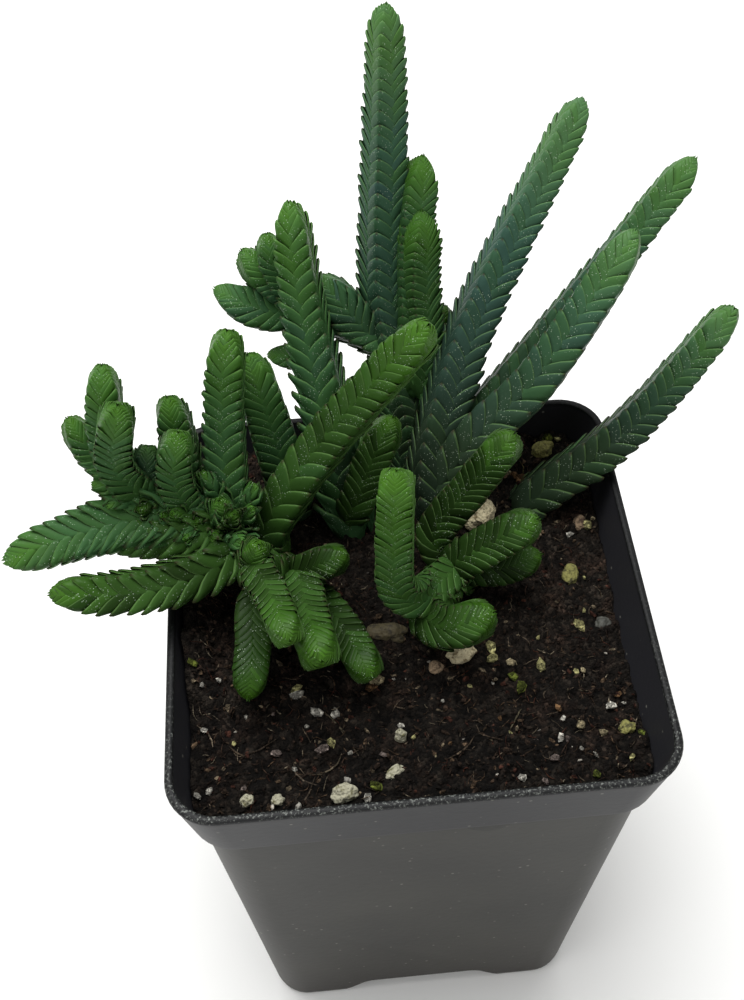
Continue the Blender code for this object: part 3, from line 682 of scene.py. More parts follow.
def grow_spray(name, stems):
    """All leaves and stalks of a spray as one piece."""
    points, shades, faces, total = [], [], [], 0
    for number, stem in enumerate(stems):
        line = grow_line(stem, number == 0)
        first = ROOT_DEPTH - 0.4 if number == 0 else LEAF_START
        spots, values, sides = wrap_stalk(stem, line, first)
        faces += shifted(sides, total)
        total += len(spots)
        points.append(spots)
        shades.append(values)
        spots, values = wrap_leaves(stem, line, first)
        for start in range(total, total + len(spots), len(leaf_points)):
            faces += shifted(leaf_faces, start)
        total += len(spots)
        points.append(spots)
        shades.append(values)
    spray = mesh_piece("leafy_" + name, np.concatenate(points), faces)
    keep_colours(spray, "leaf_place", np.concatenate(shades))
    spray.data.materials.append(leaf_green)
    spray.data.shade_smooth()
    return stand_for(spray, "leaf", name)


for name, stems in SPRAYS.items():
    grow_spray(name, stems)

# %% [markdown]
# ## Peat
#
# Potting peat is dark, damp and crumbly: broken moss, reddish fibres, thin pale roots and white
# perlite dust. The surface is a fine grid, pressed to the pot's rounded square, raised by noise at
# three sizes, and closed down to the pot's floor between the bays. Over it lie small crumbs and
# fibres, each a shape of a few faces, copied in many sizes and turns. Every point carries a colour.

# %% Peat material
peat, tree, shader = new_material("damp_peat", 0.9)
shader.inputs["Specular IOR Level"].default_value = 0.12
tint = add_node(tree, "Attribute", attribute_name="peat_tint")
place = add_node(tree, "TexCoord").outputs["Object"]

# Bits of moss half a millimetre across, and grain of half that
bits = add_node(tree, "TexVoronoi", {"Vector": place, "Scale": 1900})
grain = add_node(tree, "TexNoise", {"Vector": place, "Scale": 3600, "Detail": 3, "Roughness": 0.7})

# A few of the bits are much paler than the rest
pick = add_node(tree, "SeparateColor", {"Color": bits.outputs["Color"]})
pick = add_node(tree, "Math", {0: pick, 1: 4}, operation="POWER")
shade = add_node(tree, "MapRange", {"Value": grain, "From Min": 0.35, "From Max": 0.65,
                                    "To Min": 0.1, "To Max": 1.25})
shade = add_node(tree, "Math", {0: pick, 1: 2.4, 2: shade}, operation="MULTIPLY_ADD")
colour = add_node(tree, "MixRGB", {"Fac": 1, "Color1": tint, "Color2": shade}, blend_type="MULTIPLY")
height = add_node(tree, "Math", {0: bits, 1: grain}, operation="SUBTRACT")
bump = add_node(tree, "Bump", {"Height": height, "Strength": 1.0, "Distance": 0.0005}, invert=True)
tree.links.new(colour.outputs["Color"], shader.inputs["Base Color"])
tree.links.new(bump.outputs["Normal"], shader.inputs["Normal"])
print("peat material:", len(tree.nodes), "nodes")

# %% Peat surface
POT_HEIGHT = 87.0
BAND_HEIGHT = 12.1
INNER_TOP = 33.2
INNER_BAND = 31.7
PEAT_CORNER = 6.0
PEAT_CELLS = 200
PEAT_EDGE = 79.5
PEAT_FOOT_HALF = 24.9
WALL_STEP = 0.9
WALL_BEND = 70


def inner_half(z):
    """Half width of the peat at a height, just inside the pot's wall."""
    foot = POT_HEIGHT - BAND_HEIGHT
    if z > foot:
        return INNER_BAND + (INNER_TOP - INNER_BAND) * (z - foot) / BAND_HEIGHT
    return PEAT_FOOT_HALF + (INNER_BAND - WALL_STEP - PEAT_FOOT_HALF) * z / foot


# Levels under the surface and their half widths: the body ends above the bays, its middle goes on
PEAT_STEP = 6.2
PEAT_PLUG = 16.0
PEAT_FLOOR = 1.5
PEAT_LEVELS = ((WALL_BEND, inner_half(WALL_BEND)), (PEAT_STEP, inner_half(PEAT_STEP)),
               (PEAT_STEP, PEAT_PLUG), (PEAT_FLOOR, PEAT_PLUG))


def crumbly(x, y):
    """Clods, crumbs and strings on the peat, in millimetres."""
    spot = Vector((x, y, 0))
    clods = 1.2 * noise.noise(spot / 2.8 + Vector((0, 0, 3)))
    crumbs = 0.6 * noise.fractal(spot / 1.1 + Vector((0, 0, 5)), 0.7, 2.1, 3)
    strings = 0.5 * (0.3 - abs(noise.noise(Vector((x * 0.5, y * 1.3, 0)) + Vector((3, 0, 7)))))
    return clods + crumbs + strings


def pressed_inside(x, y, half, corner):
    """The nearest place inside a rounded square."""
    x, y = max(-half, min(half, x)), max(-half, min(half, y))
    over_x, over_y = abs(x) - (half - corner), abs(y) - (half - corner)
    reach = math.hypot(over_x, over_y)
    if over_x > 0 and over_y > 0 and reach > corner:
        x = math.copysign(half - corner + over_x * corner / reach, x)
        y = math.copysign(half - corner + over_y * corner / reach, y)
    return x, y


def peat_colour(x, y):
    """Dark brown, redder in patches, and darker towards the front as painted shade under the sprays.
    """
    red = 1.2 * noise.noise(Vector((x, y, 20)) / 5) + 0.9 * noise.noise(Vector((x, y, 30)) / 1.3) - 0.1
    # The front is darkened as painted shade, where the front sprays hang over the peat
    light = 1 + 0.9 * noise.noise(Vector((x, y, 40)) / 1.7) - 0.55 * min(max(-y - 4, 0) / 20, 1)
    brown = Vector(linear("#1c1814")[:3]).lerp(Vector(linear("#2a201a")[:3]), min(max(red, 0), 1))
    return (*(brown * max(light, 0.3)), 1)


clear_selection()
bpy.ops.mesh.primitive_grid_add(x_subdivisions=PEAT_CELLS, y_subdivisions=PEAT_CELLS, size=2)
crust = bpy.context.object
tints = []
half = inner_half(PEAT_EDGE)
for vertex in crust.data.vertices:
    out = max(abs(vertex.co.x), abs(vertex.co.y), 0.001)
    x, y = pressed_inside(vertex.co.x / out * half, vertex.co.y / out * half, half, PEAT_CORNER)
    x, y = x * out, y * out
    z = peat_height(x, y) + crumbly(x, y)
    wider = max(1, inner_half(z) / half)
    vertex.co = Vector((x * wider, y * wider, z)) * MM
    tints.append(peat_colour(x, y))
keep_colours(crust, "peat_tint", tints)
edit_edges()
bpy.ops.mesh.select_non_manifold()
above = half
for level, below in PEAT_LEVELS:
    bpy.ops.mesh.extrude_edges_move()
    wall = bmesh.from_edit_mesh(crust.data)
    for vertex in wall.verts:
        if vertex.select:
            vertex.co.x *= below / above
            vertex.co.y *= below / above
            vertex.co.z = level * MM
    bmesh.update_edit_mesh(crust.data)
    above = below
bpy.ops.mesh.edge_face_add()
leave_edit()
crust.data.shade_smooth()
print("peat surface:", len(crust.data.polygons), "faces")

# %% [markdown]
# ### Crumbs and fibres
#
# A crumb is a twenty-sided lump, and a fibre a thin bent tube of four sides.

# %% Crumbs
CRUMB_COLOURS = ("#14100c", "#1d1611", "#261d17", "#331e17", "#2e241c", "#44372a", "#5c5242",
                 "#88837a")
CRUMB_SHARES = (0.22, 0.24, 0.2, 0.1, 0.13, 0.07, 0.03, 0.01)
CRUMBS = 2800
CRUMB_SHAPE = (1.7, 1.0, 0.8)

# The smallest in millimetres, and how much more the largest has
CRUMB_SIZE = (0.13, 0.5)
FULL_TURN = 6.3

clear_selection()
bpy.ops.mesh.primitive_ico_sphere_add(subdivisions=1, radius=1)
lump_points, lump_faces = taken_apart(bpy.context.object)


def scattered(count, half):
    """Random places on the peat, a little inside the wall."""
    return [pressed_inside(x, y, half, PEAT_CORNER) for x, y in rng.uniform(-half, half, (count, 2))]


def turned(points, yaw, tip):
    """Each copy's points tipped, then turned about the vertical."""
    x, y, z = points[..., 0], points[..., 1], points[..., 2]
    y, z = y * np.cos(tip) - z * np.sin(tip), y * np.sin(tip) + z * np.cos(tip)
    return np.stack([x * np.cos(yaw) - y * np.sin(yaw), x * np.sin(yaw) + y * np.cos(yaw), z], -1)


places = scattered(CRUMBS, half - 0.5)
sizes = (CRUMB_SIZE[0] + CRUMB_SIZE[1] * rng.beta(1, 5, (CRUMBS, 1, 1))) * np.array(CRUMB_SHAPE)
lumps = lump_points[None] * rng.normal(1, 0.25, (CRUMBS, len(lump_points), 1)) * sizes
lumps = turned(lumps, rng.uniform(0, FULL_TURN, (CRUMBS, 1)), rng.uniform(-0.8, 0.8, (CRUMBS, 1)))
feet = np.array([(x, y, peat_height(x, y) + crumbly(x, y) + 0.1) for x, y in places])
lumps = (lumps + feet[:, None]).reshape(-1, 3)
kinds = rng.choice(len(CRUMB_COLOURS), CRUMBS, p=CRUMB_SHARES)
crumb_faces = []
for start in range(0, len(lumps), len(lump_points)):
    crumb_faces += shifted(lump_faces, start)
crumbs = mesh_piece("crumbs", lumps, crumb_faces)
keep_colours(crumbs, "peat_tint",
             np.repeat([linear(CRUMB_COLOURS[k]) for k in kinds], len(lump_points), 0))
print("crumbs:", CRUMBS)

# %% Fibres
FIBRE_COLOURS = ("#2c211a", "#3d3024", "#331d15", "#1e1712", "#50463a", "#6a6151")
FIBRE_SHARES = (0.25, 0.23, 0.14, 0.15, 0.16, 0.07)
FIBRES = 1500
FIBRE_LENGTH = (0.8, 3.3)
FIBRE_GIRTH = (0.035, 0.1)
FIBRE_RINGS = 5
STRING_GIRTH = 0.13

# Strings seen in the photograph: pixel, turn in degrees, length in millimetres and colour
SEEN_STRINGS = (
    (312, 705, -35, 7, "#5d5646"), (338, 722, -75, 6, "#4a4236"), (342, 745, -95, 6, "#4d4538"),
    (297, 752, -110, 7, "#4a4238"), (318, 770, -110, 5, "#3d352c"), (288, 736, -160, 6, "#3a3128"),
    (226, 742, -60, 4, "#4a3f33"), (190, 726, -10, 4, "#6a5f50"), (498, 476, -5, 6, "#6f6648"),
    (505, 480, -8, 5, "#5f5638"), (524, 703, -120, 4, "#57503f"), (610, 712, -20, 5, "#4b4034"),
    (440, 762, 10, 5, "#4a3f33"), (470, 730, -30, 4, "#3f352b"), (415, 705, 60, 4, "#4a3f33"),
)


def lay_fibre(x, y, heading, length, thick):
    """A thin fibre on the peat: its rings of four points."""
    bend = rng.normal(0, 0.25)
    step = length / (FIBRE_RINGS - 1)
    slope = rng.normal(0, 0.1)
    rings = []
    for ring in range(FIBRE_RINGS):
        x, y = x + math.cos(heading) * step, y + math.sin(heading) * step
        x, y = pressed_inside(x, y, half - 0.4, PEAT_CORNER)
        heading += bend
        z = peat_height(x, y) + crumbly(x, y) * 0.7 + 0.2 + ring * slope
        girth = thick * (0.4 if ring in (0, FIBRE_RINGS - 1) else 1)
        across = Vector((-math.sin(heading), math.cos(heading), 0)) * girth
        up = Vector((0, 0, girth))
        centre = Vector((x, y, z))
        rings += [centre + across, centre + up, centre - across, centre - up]
    return rings


fibre_faces = [[0, 1, 2, 3], [4 * FIBRE_RINGS - k for k in (1, 2, 3, 4)]]
for ring in range(FIBRE_RINGS - 1):
    for k in range(4):
        a, b = ring * 4 + k, ring * 4 + (k + 1) % 4
        fibre_faces.append([b, a, a + 4, b + 4])
points, faces, tints = [], [], []
for x, y in scattered(FIBRES, half - 1):
    faces += shifted(fibre_faces, len(points))
    heading = rng.uniform(0, FULL_TURN)
    length = FIBRE_LENGTH[0] + FIBRE_LENGTH[1] * rng.beta(1.2, 4)
    points += lay_fibre(x, y, heading, length, FIBRE_GIRTH[0] + FIBRE_GIRTH[1] * rng.beta(1.5, 4))
    tints += [linear(rng.choice(FIBRE_COLOURS, p=FIBRE_SHARES))] * (4 * FIBRE_RINGS)
for px, py, turn, length, colour in SEEN_STRINGS:
    faces += shifted(fibre_faces, len(points))
    points += lay_fibre(*under_pixel(px, py), math.radians(turn), length, STRING_GIRTH)
    tints += [linear(colour)] * (4 * FIBRE_RINGS)
fibres = mesh_piece("fibres", points, faces)
keep_colours(fibres, "peat_tint", tints)
fibres.data.shade_smooth()
print("fibres:", FIBRES, "and", len(SEEN_STRINGS), "seen strings")

# %% [markdown]
# ### Small grains seen in the photograph
#
# Each small pale grain is named by its pixel, its size in millimetres and its kind.

# %% Small grains
# White, yellow, cream, tan, green and pink
GRAIN_COLOURS = {"w": "#8f8c83", "y": "#88845a", "c": "#82785e", "t": "#543f2a", "g": "#434a1c",
                 "p": "#5f5550"}
GRAIN_SHAPE = Vector((1.15, 0.8, 0.7)) / 2
SMALL_GRAINS = (
    (296, 691, 1.6, "y"), (297, 697, 1.8, "w"), (202, 685, 0.9, "w"), (219, 681, 1.0, "w"),
    (189, 664, 1.4, "g"), (317, 714, 1.7, "w"), (336, 715, 1.3, "w"), (307, 727, 0.7, "w"),
    (273, 714, 0.7, "p"), (246, 717, 0.7, "w"), (204, 731, 1.1, "w"), (234, 744, 0.9, "y"),
    (332, 743, 1.4, "y"), (351, 754, 0.9, "w"), (349, 781, 1.3, "w"), (295, 770, 0.9, "w"),
    (276, 754, 1.4, "p"), (323, 751, 1.9, "p"), (209, 792, 1.4, "w"), (194, 797, 1.2, "w"),
    (244, 789, 0.9, "p"), (299, 807, 1.2, "w"), (368, 799, 1.3, "w"), (376, 786, 1.9, "g"),
    (384, 756, 1.3, "p"), (413, 738, 0.8, "y"), (394, 682, 0.9, "w"), (403, 682, 1.1, "w"),
    (376, 682, 2.3, "c"), (371, 689, 1.7, "t"), (469, 687, 0.8, "y"), (443, 701, 0.7, "w"),
    (401, 726, 1.0, "w"), (579, 626, 1.9, "y"), (584, 611, 0.8, "y"), (584, 578, 0.7, "y"),
    (538, 638, 0.9, "y"), (491, 649, 2.2, "y"), (493, 659, 1.8, "y"), (511, 664, 1.7, "c"),
    (540, 667, 2.0, "y"), (576, 672, 1.2, "y"), (583, 671, 1.1, "c"), (522, 688, 1.9, "g"),
    (514, 678, 1.4, "g"), (493, 683, 0.6, "w"), (618, 696, 1.3, "t"), (612, 706, 1.4, "w"),
    (624, 703, 0.7, "w"), (581, 725, 1.7, "c"), (603, 733, 1.2, "c"), (510, 734, 0.8, "y"),
    (561, 739, 1.4, "w"), (568, 741, 1.2, "p"), (574, 747, 0.8, "w"), (581, 749, 0.9, "w"),
    (596, 755, 0.8, "w"), (554, 759, 1.5, "p"), (536, 741, 0.8, "p"), (522, 778, 1.4, "w"),
    (546, 782, 1.0, "p"), (597, 775, 1.3, "g"), (632, 757, 1.3, "y"), (559, 709, 1.2, "t"),
    (563, 718, 1.0, "w"), (586, 526, 2.2, "y"), (569, 535, 1.2, "w"), (499, 483, 1.2, "w"),
    (505, 476, 2.0, "c"), (513, 478, 2.2, "t"), (521, 480, 2.0, "t"), (617, 520, 0.9, "c"),
    (556, 425, 1.2, "y"), (548, 440, 2.0, "g"), (477, 826, 0.5, "w"), (641, 734, 1.2, "g"),
    (435, 757, 0.6, "c"), (450, 745, 0.7, "t"), (500, 718, 0.7, "t"),
)

points, faces, tints = [], [], []
for px, py, size, kind in SMALL_GRAINS:
    x, y = pressed_inside(*under_pixel(px, py), half - 0.7, PEAT_CORNER)
    turn = Matrix.Rotation(rng.uniform(0, FULL_TURN), 3, "Z")
    foot = Vector((x, y, peat_height(x, y) + 0.3 * crumbly(x, y) + 0.2 * size))
    faces += shifted(lump_faces, len(points))
    for spot in lump_points:
        points.append(turn @ (Vector(spot) * GRAIN_SHAPE * size * rng.normal(1, 0.2)) + foot)
        tints.append(linear(GRAIN_COLOURS[kind]))
small_grains = mesh_piece("small_grains", points, faces)
keep_colours(small_grains, "peat_tint", tints)

for item in (crust, crumbs, fibres, small_grains):
    item.data.materials.append(peat)
only(crust)
for item in (crumbs, fibres, small_grains):
    item.select_set(True)
bpy.ops.object.join()
stand_for(press_in(crust, "peat"), "peat", "potting_soil")

# %% [markdown]
# ## The larger stones
#
# Pumice and perlite are full of tiny burst bubbles, while the grit is worn smooth. Each stone is a
# fine round ball, made rough by noise as its solid is, then pitted by a bump in its material, with
# painted shade darkening the pits.

# %% Stones
Grain = namedtuple("Grain", "name stone x y length width height turn")
GRAINS = (
    Grain("pumice_lump_back", "pumice", 13.2, 16.8, 5.8, 4.8, 5.0, 60),
    Grain("pumice_lump_front", "pumice", 7.3, -7.6, 4.4, 3.4, 3.0, 15),
    Grain("stone_cream", "stone_cream", -3.2, -3.4, 6.4, 3.0, 2.6, -8),
    Grain("grit_brown", "grit_brown", 3.4, -9.6, 2.4, 2.0, 1.8, 30),
    Grain("perlite_front_edge", "perlite", -11.3, -29.0, 3.8, 2.6, 2.4, 5),
    Grain("perlite_left_corner", "perlite", -24.7, -28.5, 2.0, 1.7, 1.6, 40),
    Grain("perlite_left_edge", "perlite", -20.4, -28.8, 1.8, 1.7, 1.6, 0),
    Grain("perlite_long", "perlite", -4.2, -26.4, 3.0, 1.6, 1.5, 35),
    Grain("perlite_upright", "perlite", -2.8, -20.8, 1.6, 1.6, 2.8, 10),
    Grain("grit_yellow_right", "grit_yellow", 26.2, 5.8, 3.6, 2.4, 2.2, 80),
    Grain("grit_yellow_back", "grit_yellow", 25.3, 28.6, 3.8, 3.0, 2.6, 25),
    Grain("grit_yellow_corner", "grit_yellow", 29.6, -21.7, 2.6, 2.0, 1.7, 10),
    Grain("grit_tan_wall", "grit_brown", 29.4, 15.2, 2.8, 2.0, 1.8, 70),
    Grain("pebble_grey", "pebble_grey", 29.8, -3.1, 2.5, 2.1, 1.8, 20),
)
GRAIN_LIFT = 0.12

# How deep the dents are, how many there are, and a shift that gives each stone its own
GRAIN_DENTS = ((0.28, 1.4, (7.3, 0, 0)), (0.1, 3.5, (0, 3.1, 0)), (0.04, 8, (0, 0, 0)))

# Two colours, how smooth, and how deep the pits and their painted shade
STONES = {
    "pumice": ("#c3b896", "#7a6c4e", 0.9, 0.8),
    "stone_cream": ("#4b432c", "#2d2718", 0.75, 0.4),
    "grit_brown": ("#836f57", "#433224", 0.85, 0.8),
    "grit_yellow": ("#7b7841", "#3c3a1c", 0.85, 0.8),
    "perlite": ("#9a9782", "#5f5c3c", 0.9, 0.8),
    "pebble_grey": ("#484842", "#32322d", 0.7, 0.3),
}


def stone_material(name):
    """Two colours in patches, and small pits darkened inside by painted shade."""
    light, dark, roughness, pits = STONES[name]
    material, tree, shader = new_material("pitted_" + name, roughness)
    place = add_node(tree, "TexCoord").outputs["Object"]

    # Patches of about 1 mm, and burst bubbles of about 0.4 mm
    patches = add_node(tree, "TexNoise", {"Vector": place, "Scale": 900, "Detail": 4,
                                          "Roughness": 0.65})
    colour = add_node(tree, "ValToRGB", {"Fac": patches}, ((0.36, dark), (0.48, light), (1, light)))
    holes = add_node(tree, "TexVoronoi", {"Vector": place, "Scale": 2200})
    # Painted shade inside the pits
    shade = add_node(tree, "MapRange", {"Value": holes, "From Min": 0.1, "From Max": 0.3,
                                        "To Min": 1 - 0.7 * pits})
    colour = add_node(tree, "MixRGB", {"Fac": 1, "Color1": colour, "Color2": shade},
                      blend_type="MULTIPLY")
    bump = add_node(tree, "Bump", {"Height": holes, "Strength": pits, "Distance": 0.0003})
    tree.links.new(colour.outputs["Color"], shader.inputs["Base Color"])
    tree.links.new(bump.outputs["Normal"], shader.inputs["Normal"])
    return material


def lay_stone(grain, seed):
    """One stone: a fine ball, pressed rough like its solid, with small dents of its own."""
    clear_selection()
    bpy.ops.mesh.primitive_ico_sphere_add(subdivisions=4, radius=1)
    stone = bpy.context.object
    size = Vector((grain.length, grain.width, grain.height)) / 2
    turn = Matrix.Rotation(math.radians(grain.turn), 3, "Z")
    place = Vector((grain.x, grain.y, peat_height(grain.x, grain.y) + GRAIN_LIFT * grain.height))
    for vertex in stone.data.vertices:
        way = vertex.co.normalized()
        rough = 1
        for depth, count, shift in GRAIN_DENTS:
            rough += depth * noise.noise(way * count + Vector(shift) * seed)
        vertex.co = (turn @ (way * size * rough) + place) * MM
    stone.data.shade_smooth()
    material = bpy.data.materials.get("pitted_" + grain.stone) or stone_material(grain.stone)
    stone.data.materials.append(material)
    return stand_for(press_in(stone, "fine_" + grain.name), grain.stone, grain.name)


for seed, grain in enumerate(GRAINS):
    lay_stone(grain, seed + 1)

# %% [markdown]
# ## The pot
#
# A nursery pot is blow-moulded or injection-moulded from dark grey polypropylene, so its wall is
# thin, its edges are all a little round, and its skin is satin. It is built as it would be by hand:
# a flat square has its corners rounded, each such ring stands at its own height, and neighbouring
# rings are bridged, up the outside and down the inside. Last, four bays with sloping ends are
# raised under the sides of the base, each with a drain hole.

# %% Pot shape
CORNER_CUTS = 10

# Half width, radius of the corners, and height
POT_RINGS = (
    (24.9, 5.0, 0.0), (25.7, 5.8, 0.15), (26.1, 6.1, 0.7), (26.25, 6.2, 1.6),
    (29.1, 6.3, 38.0), (31.95, 6.5, 73.4), (32.15, 6.5, 74.6), (32.35, 6.6, 74.82),
    (32.85, 6.7, 74.85), (33.05, 6.7, 75.0), (33.15, 6.7, 75.4), (34.75, 6.9, 85.3),
    (34.95, 6.9, 86.2), (34.97, 6.9, 86.55), (34.85, 6.85, 86.83), (34.6, 6.7, 86.97),
    (34.3, 6.5, 87.0), (34.1, 6.4, 86.98), (33.9, 6.2, 86.85), (33.8, 6.0, 86.6),
    (31.95, 5.8, 75.3), (31.3, 5.6, 74.3),
    (31.1, 5.6, 73.5), (25.35, 5.2, 2.2), (24.9, 4.8, 1.4), (23.9, 4.2, 1.2),
)


def add_ring(half, corner, height):
    """The rounded square of one level, as a loop of edges in the mesh being edited."""
    bpy.ops.mesh.select_all(action="DESELECT")
    bpy.ops.mesh.primitive_plane_add(size=2 * half * MM, location=(0, 0, height * MM))
    bpy.ops.mesh.bevel(offset=corner * MM, segments=CORNER_CUTS, affect="VERTICES")
    bpy.ops.mesh.delete(type="ONLY_FACE")


def bridge(mesh, low, high, count):
    """Joins two loops, given where their points start in the mesh, or fills a single one."""
    bpy.ops.mesh.select_mode(type="VERT")
    bpy.ops.mesh.select_all(action="DESELECT")
    grid = bmesh.from_edit_mesh(mesh)
    grid.verts.ensure_lookup_table()
    for start in (low, high):
        for k in range(count):
            grid.verts[start + k].select_set(True)
    grid.select_flush(True)
    bmesh.update_edit_mesh(mesh)
    if low != high:
        bpy.ops.mesh.bridge_edge_loops()
    else:
        bpy.ops.mesh.edge_face_add()


clear_selection()
bpy.ops.mesh.primitive_plane_add(size=2 * POT_RINGS[0][0] * MM, location=(0, 0, 0))
pot = press_in(bpy.context.object, "nursery_pot")
bpy.ops.object.mode_set(mode="EDIT")
bpy.ops.mesh.select_all(action="SELECT")
bpy.ops.mesh.delete(type="VERT")
for half_width, corner, height in POT_RINGS:
    add_ring(half_width, corner, height)
ring_size = 4 * (CORNER_CUTS + 1)
for level in range(len(POT_RINGS) - 1):
    bridge(pot.data, level * ring_size, (level + 1) * ring_size, ring_size)
for end in (0, len(POT_RINGS) - 1):
    bridge(pot.data, end * ring_size, end * ring_size, ring_size)
leave_edit()
print("pot:", len(pot.data.vertices), "points in", len(POT_RINGS), "rings")

# %% Bays and drain holes
BAY_WIDTH = 24.0
BAY_REACH = 9.0
BAY_HEIGHT = 4.6
BAY_SLOPE = 1.0
BAY_EDGE = 1.2
BAY_ROOF = 1.2
BASE_HALF = 26.2
DRAIN_RADIUS = 2.5
DRAIN_DEPTH = 4.0
SMOOTH_UNDER = math.radians(32)


def bay_block(side, width, near, far, low, high):
    """A block with rounded edges and sloping ends under the middle of one side of the base."""
    clear_selection()
    bpy.ops.mesh.primitive_cube_add(size=1)
    block = bpy.context.object
    block.scale = Vector((far - near, width, high - low)) * MM
    block.location = Vector(((near + far) / 2, 0, (low + high) / 2)) * MM
    block = press_in(block, "bay")
    for vertex in block.data.vertices:
        vertex.co.y += math.copysign(BAY_SLOPE, vertex.co.y) * (BAY_HEIGHT / 2 * MM - vertex.co.z)
    bpy.ops.object.mode_set(mode="EDIT")
    bpy.ops.mesh.select_all(action="SELECT")
    bpy.ops.mesh.bevel(offset=BAY_EDGE * MM, segments=4)
    bpy.ops.object.mode_set(mode="OBJECT")
    block.data.transform(Matrix.Rotation(math.pi / 2 * side, 4, "Z"))
    return block


def carve(target, tool, operation):
    """One Boolean, applied, and its tool removed."""
    only(target)
    modifier = target.modifiers.new("carve", "BOOLEAN")
    modifier.operation = operation
    modifier.object = tool
    modifier.solver = "EXACT"
    bpy.ops.object.modifier_apply(modifier=modifier.name)
    bpy.data.objects.remove(tool)


# The walls and roof round each bay come first, then the bay and its hole are cut out
bay_end = BASE_HALF - BAY_REACH
for side in range(4):
    roof = bay_block(side, BAY_WIDTH + 3, bay_end - 1, BASE_HALF - 0.4, 0.5, BAY_HEIGHT + BAY_ROOF)
    carve(pot, roof, "UNION")
for side in range(4):
    carve(pot, bay_block(side, BAY_WIDTH, bay_end, BASE_HALF + 5, -2, BAY_HEIGHT), "DIFFERENCE")
    clear_selection()
    spot = Vector((BASE_HALF - BAY_REACH * 0.6, 0, BAY_HEIGHT + 0.5))
    spot = Matrix.Rotation(math.pi / 2 * side, 3, "Z") @ spot
    bpy.ops.mesh.primitive_cylinder_add(vertices=32, radius=DRAIN_RADIUS * MM, depth=DRAIN_DEPTH * MM,
                                        location=spot * MM)
    carve(pot, bpy.context.object, "DIFFERENCE")
only(pot)
bpy.ops.object.shade_smooth_by_angle(angle=SMOOTH_UNDER)
print("pot after cutting:", len(pot.data.polygons), "faces")

# %% [markdown]
# ### Satin polypropylene, and the dust on it
#
# The plastic is a dark grey with a satin skin. Water has dried on it: pale lime grains sit on the
# lip, thickest at the front, and fine specks are scattered down the wall. The lip's top is painted
# darker, as painted shade. A dark line of painted shadow runs under the band, a thin painted
# highlight runs along its lower edge, and there is one small mark from the mould. Height picks out
# each zone, and noise breaks it up.

# %% Pot material
plastic, tree, shader = new_material("satin_polypropylene", 0.48, 1.49)
shader.inputs["Specular IOR Level"].default_value = 0.2
place = add_node(tree, "TexCoord").outputs["Object"]
axes = add_node(tree, "SeparateXYZ", {"Vector": place}).outputs

# Specks 2.4 mm apart in patches of 6 mm, clouds of 22 mm, lime of 0.4 mm and a dimpled skin of 1 mm
dots = add_node(tree, "TexVoronoi", {"Vector": place, "Scale": 420})
clouds, patches, crust_grains, orange_peel = (
    add_node(tree, "TexNoise", {"Vector": place, "Scale": scale, "Detail": detail, "Roughness": rough})
    for scale, detail, rough in ((45, 3, 0.5), (160, 2, 0.5), (2600, 3, 0.75), (900, 2, 0.5)))

# What is read, where its range starts and ends in metres or in parts, and what comes out there
POT_RANGES = {
    # A painted shadow darkens the wall just under the band
    "band_shadow": (axes["Z"], 0.0715, 0.0745, 0, 0.45),
    "soiled": (axes["Z"], 0.03, 0.0, 0, 0.35),
    "band": (axes["Z"], 0.0735, 0.0755, 0, 1),
    "specks": (dots, 0.11, 0.07, 0, 1),
    "speckled": (patches, 0.42, 0.55, 0, 0.6),
    # The top of the lip is painted darker: painted shade
    "lip": (axes["Z"], 0.0862, 0.0868, 0, 1),
    "front": (axes["Y"], -0.01, -0.03, 0.12, 1),
    "lime": (crust_grains, 0.54, 0.66, 0, 0.62),
}

# Names of sums, and what they work on: the mark is a crescent 6 mm wide and 2 mm high
POT_SUMS = (
    # edge: a thin painted highlight along the band's lower edge
    ("edge", "COMPARE", "Z", 0.0753, 0.0001),
    ("edge", "MULTIPLY", "edge", 0.4),
    ("beside", "MULTIPLY_ADD", "X", 322.6, -2.774),
    ("beside", "POWER", "beside", 2),
    ("bottom", "MULTIPLY_ADD", "beside", 0.0017, 0.0707),
    ("mark", "GREATER_THAN", "Z", "bottom"),
    ("below", "LESS_THAN", "Z", 0.0728),
    ("mark", "MULTIPLY", "mark", "below"),
    ("facing", "LESS_THAN", "Y", -0.03),
    ("mark", "MULTIPLY", "mark", "facing"),
    ("mark", "MULTIPLY", "mark", 0.5),
    ("specks", "MULTIPLY", "specks", "speckled"),
    ("front", "MULTIPLY", "lip", "front"),
    ("lime", "MULTIPLY", "lime", "front"),
)
# Coats over the grey: the band's shadow, the edge's highlight and the dark lip top are painted light
# and shade
POT_COATS = (
    ("band_shadow", "#0b0b0b"), ("soiled", "#35302a"), ("band", "#212124"), ("edge", "#4c4c4a"),
    ("mark", "#0b0b0b"), ("specks", "#7d7d74"), ("lip", "#0d0e0f"), ("lime", "#868a84"),
)
share = {axis: axes[axis] for axis in "XYZ"}
for name, (value, start, end, low, high) in POT_RANGES.items():
    share[name] = add_node(tree, "MapRange", {"Value": value, "From Min": start, "From Max": end,
                                              "To Min": low, "To Max": high})
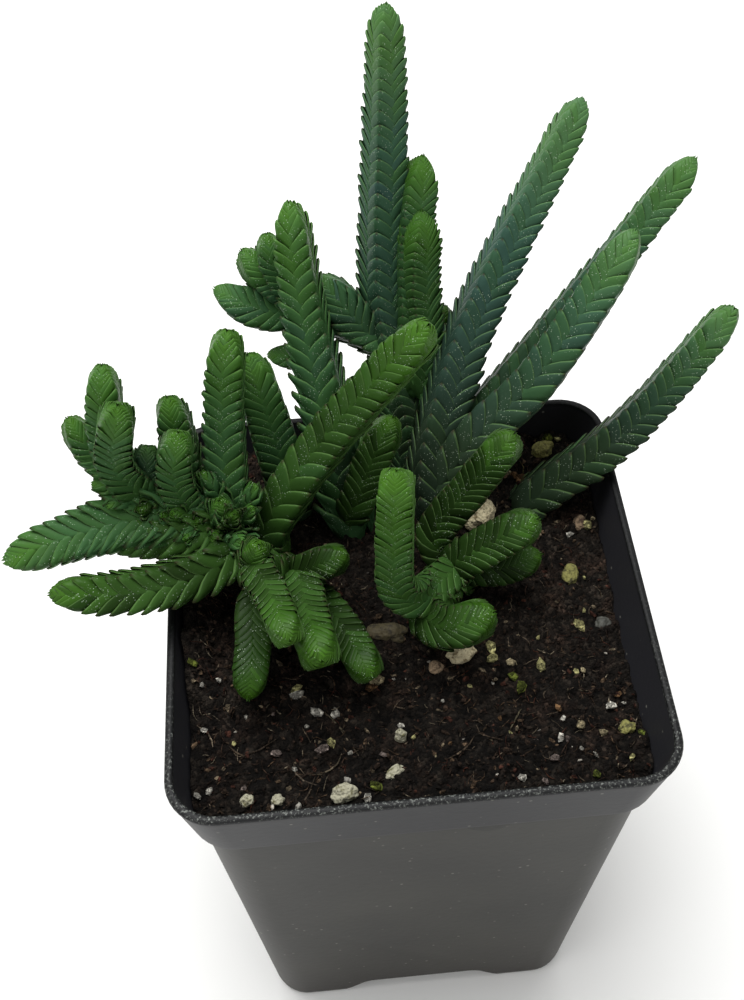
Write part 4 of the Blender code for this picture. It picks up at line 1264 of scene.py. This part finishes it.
for name, operation, *numbers in POT_SUMS:
    numbers = {socket: share.get(number, number) for socket, number in enumerate(numbers)}
    share[name] = add_node(tree, "Math", numbers, operation=operation)
grey = add_node(tree, "ValToRGB", {"Fac": clouds}, ((0.3, "#272624"), (0.7, "#32312d")))
for name, coat in POT_COATS:
    grey = add_node(tree, "MixRGB", {"Fac": share[name], "Color1": grey, "Color2": coat})
bump = add_node(tree, "Bump", {"Height": orange_peel, "Strength": 0.12, "Distance": 0.0002})
tree.links.new(grey.outputs["Color"], shader.inputs["Base Color"])
tree.links.new(bump.outputs["Normal"], shader.inputs["Normal"])
pot.data.materials.clear()
pot.data.materials.append(plastic)
stand_for(pot, "pot_plastic", "pot")

# %% [markdown]
# ## Floor and light
#
# The photograph is cut out on white, so the floor is plain and pale. The light is that of a bright
# room: a wide, soft sheet overhead, a little to the back left, a weak one at the front left, and a
# white surround that fills the shade.

# %% Stage
clear_selection()
bpy.ops.mesh.primitive_plane_add(size=4, location=(0, 0, -0.0002))
floor = press_in(bpy.context.object, "floor")
pale, _, shader = new_material("pale_floor", 0.9)
shader.inputs["Base Color"].default_value = linear("#f4f4f2")
floor.data.materials.append(pale)

world = bpy.data.worlds.new("bright_room")
world.use_nodes = True
world.node_tree.nodes["Background"].inputs["Color"].default_value = (1, 1, 1, 1)
world.node_tree.nodes["Background"].inputs["Strength"].default_value = 0.6
bpy.context.scene.world = world
bpy.context.scene.view_settings.view_transform = "Standard"


def add_lamp(name, place, target, size, power):
    """A square sheet of light that faces a point."""
    lamp = bpy.data.lights.new(name, "AREA")
    lamp.shape = "SQUARE"
    lamp.size, lamp.energy = size, power
    item = bpy.data.objects.new(name, lamp)
    item.location = place
    item.rotation_euler = (Vector(place) - Vector(target)).to_track_quat("Z", "Y").to_euler()
    bpy.context.scene.collection.objects.link(item)


add_lamp("overhead", (-0.1, 0.15, 0.8), (0, 0, 0.09), 0.6, 7.5)
add_lamp("window", (-0.55, -0.45, 0.5), (0, 0, 0.08), 0.5, 0.8)
print("lamps:", len(bpy.data.lights))
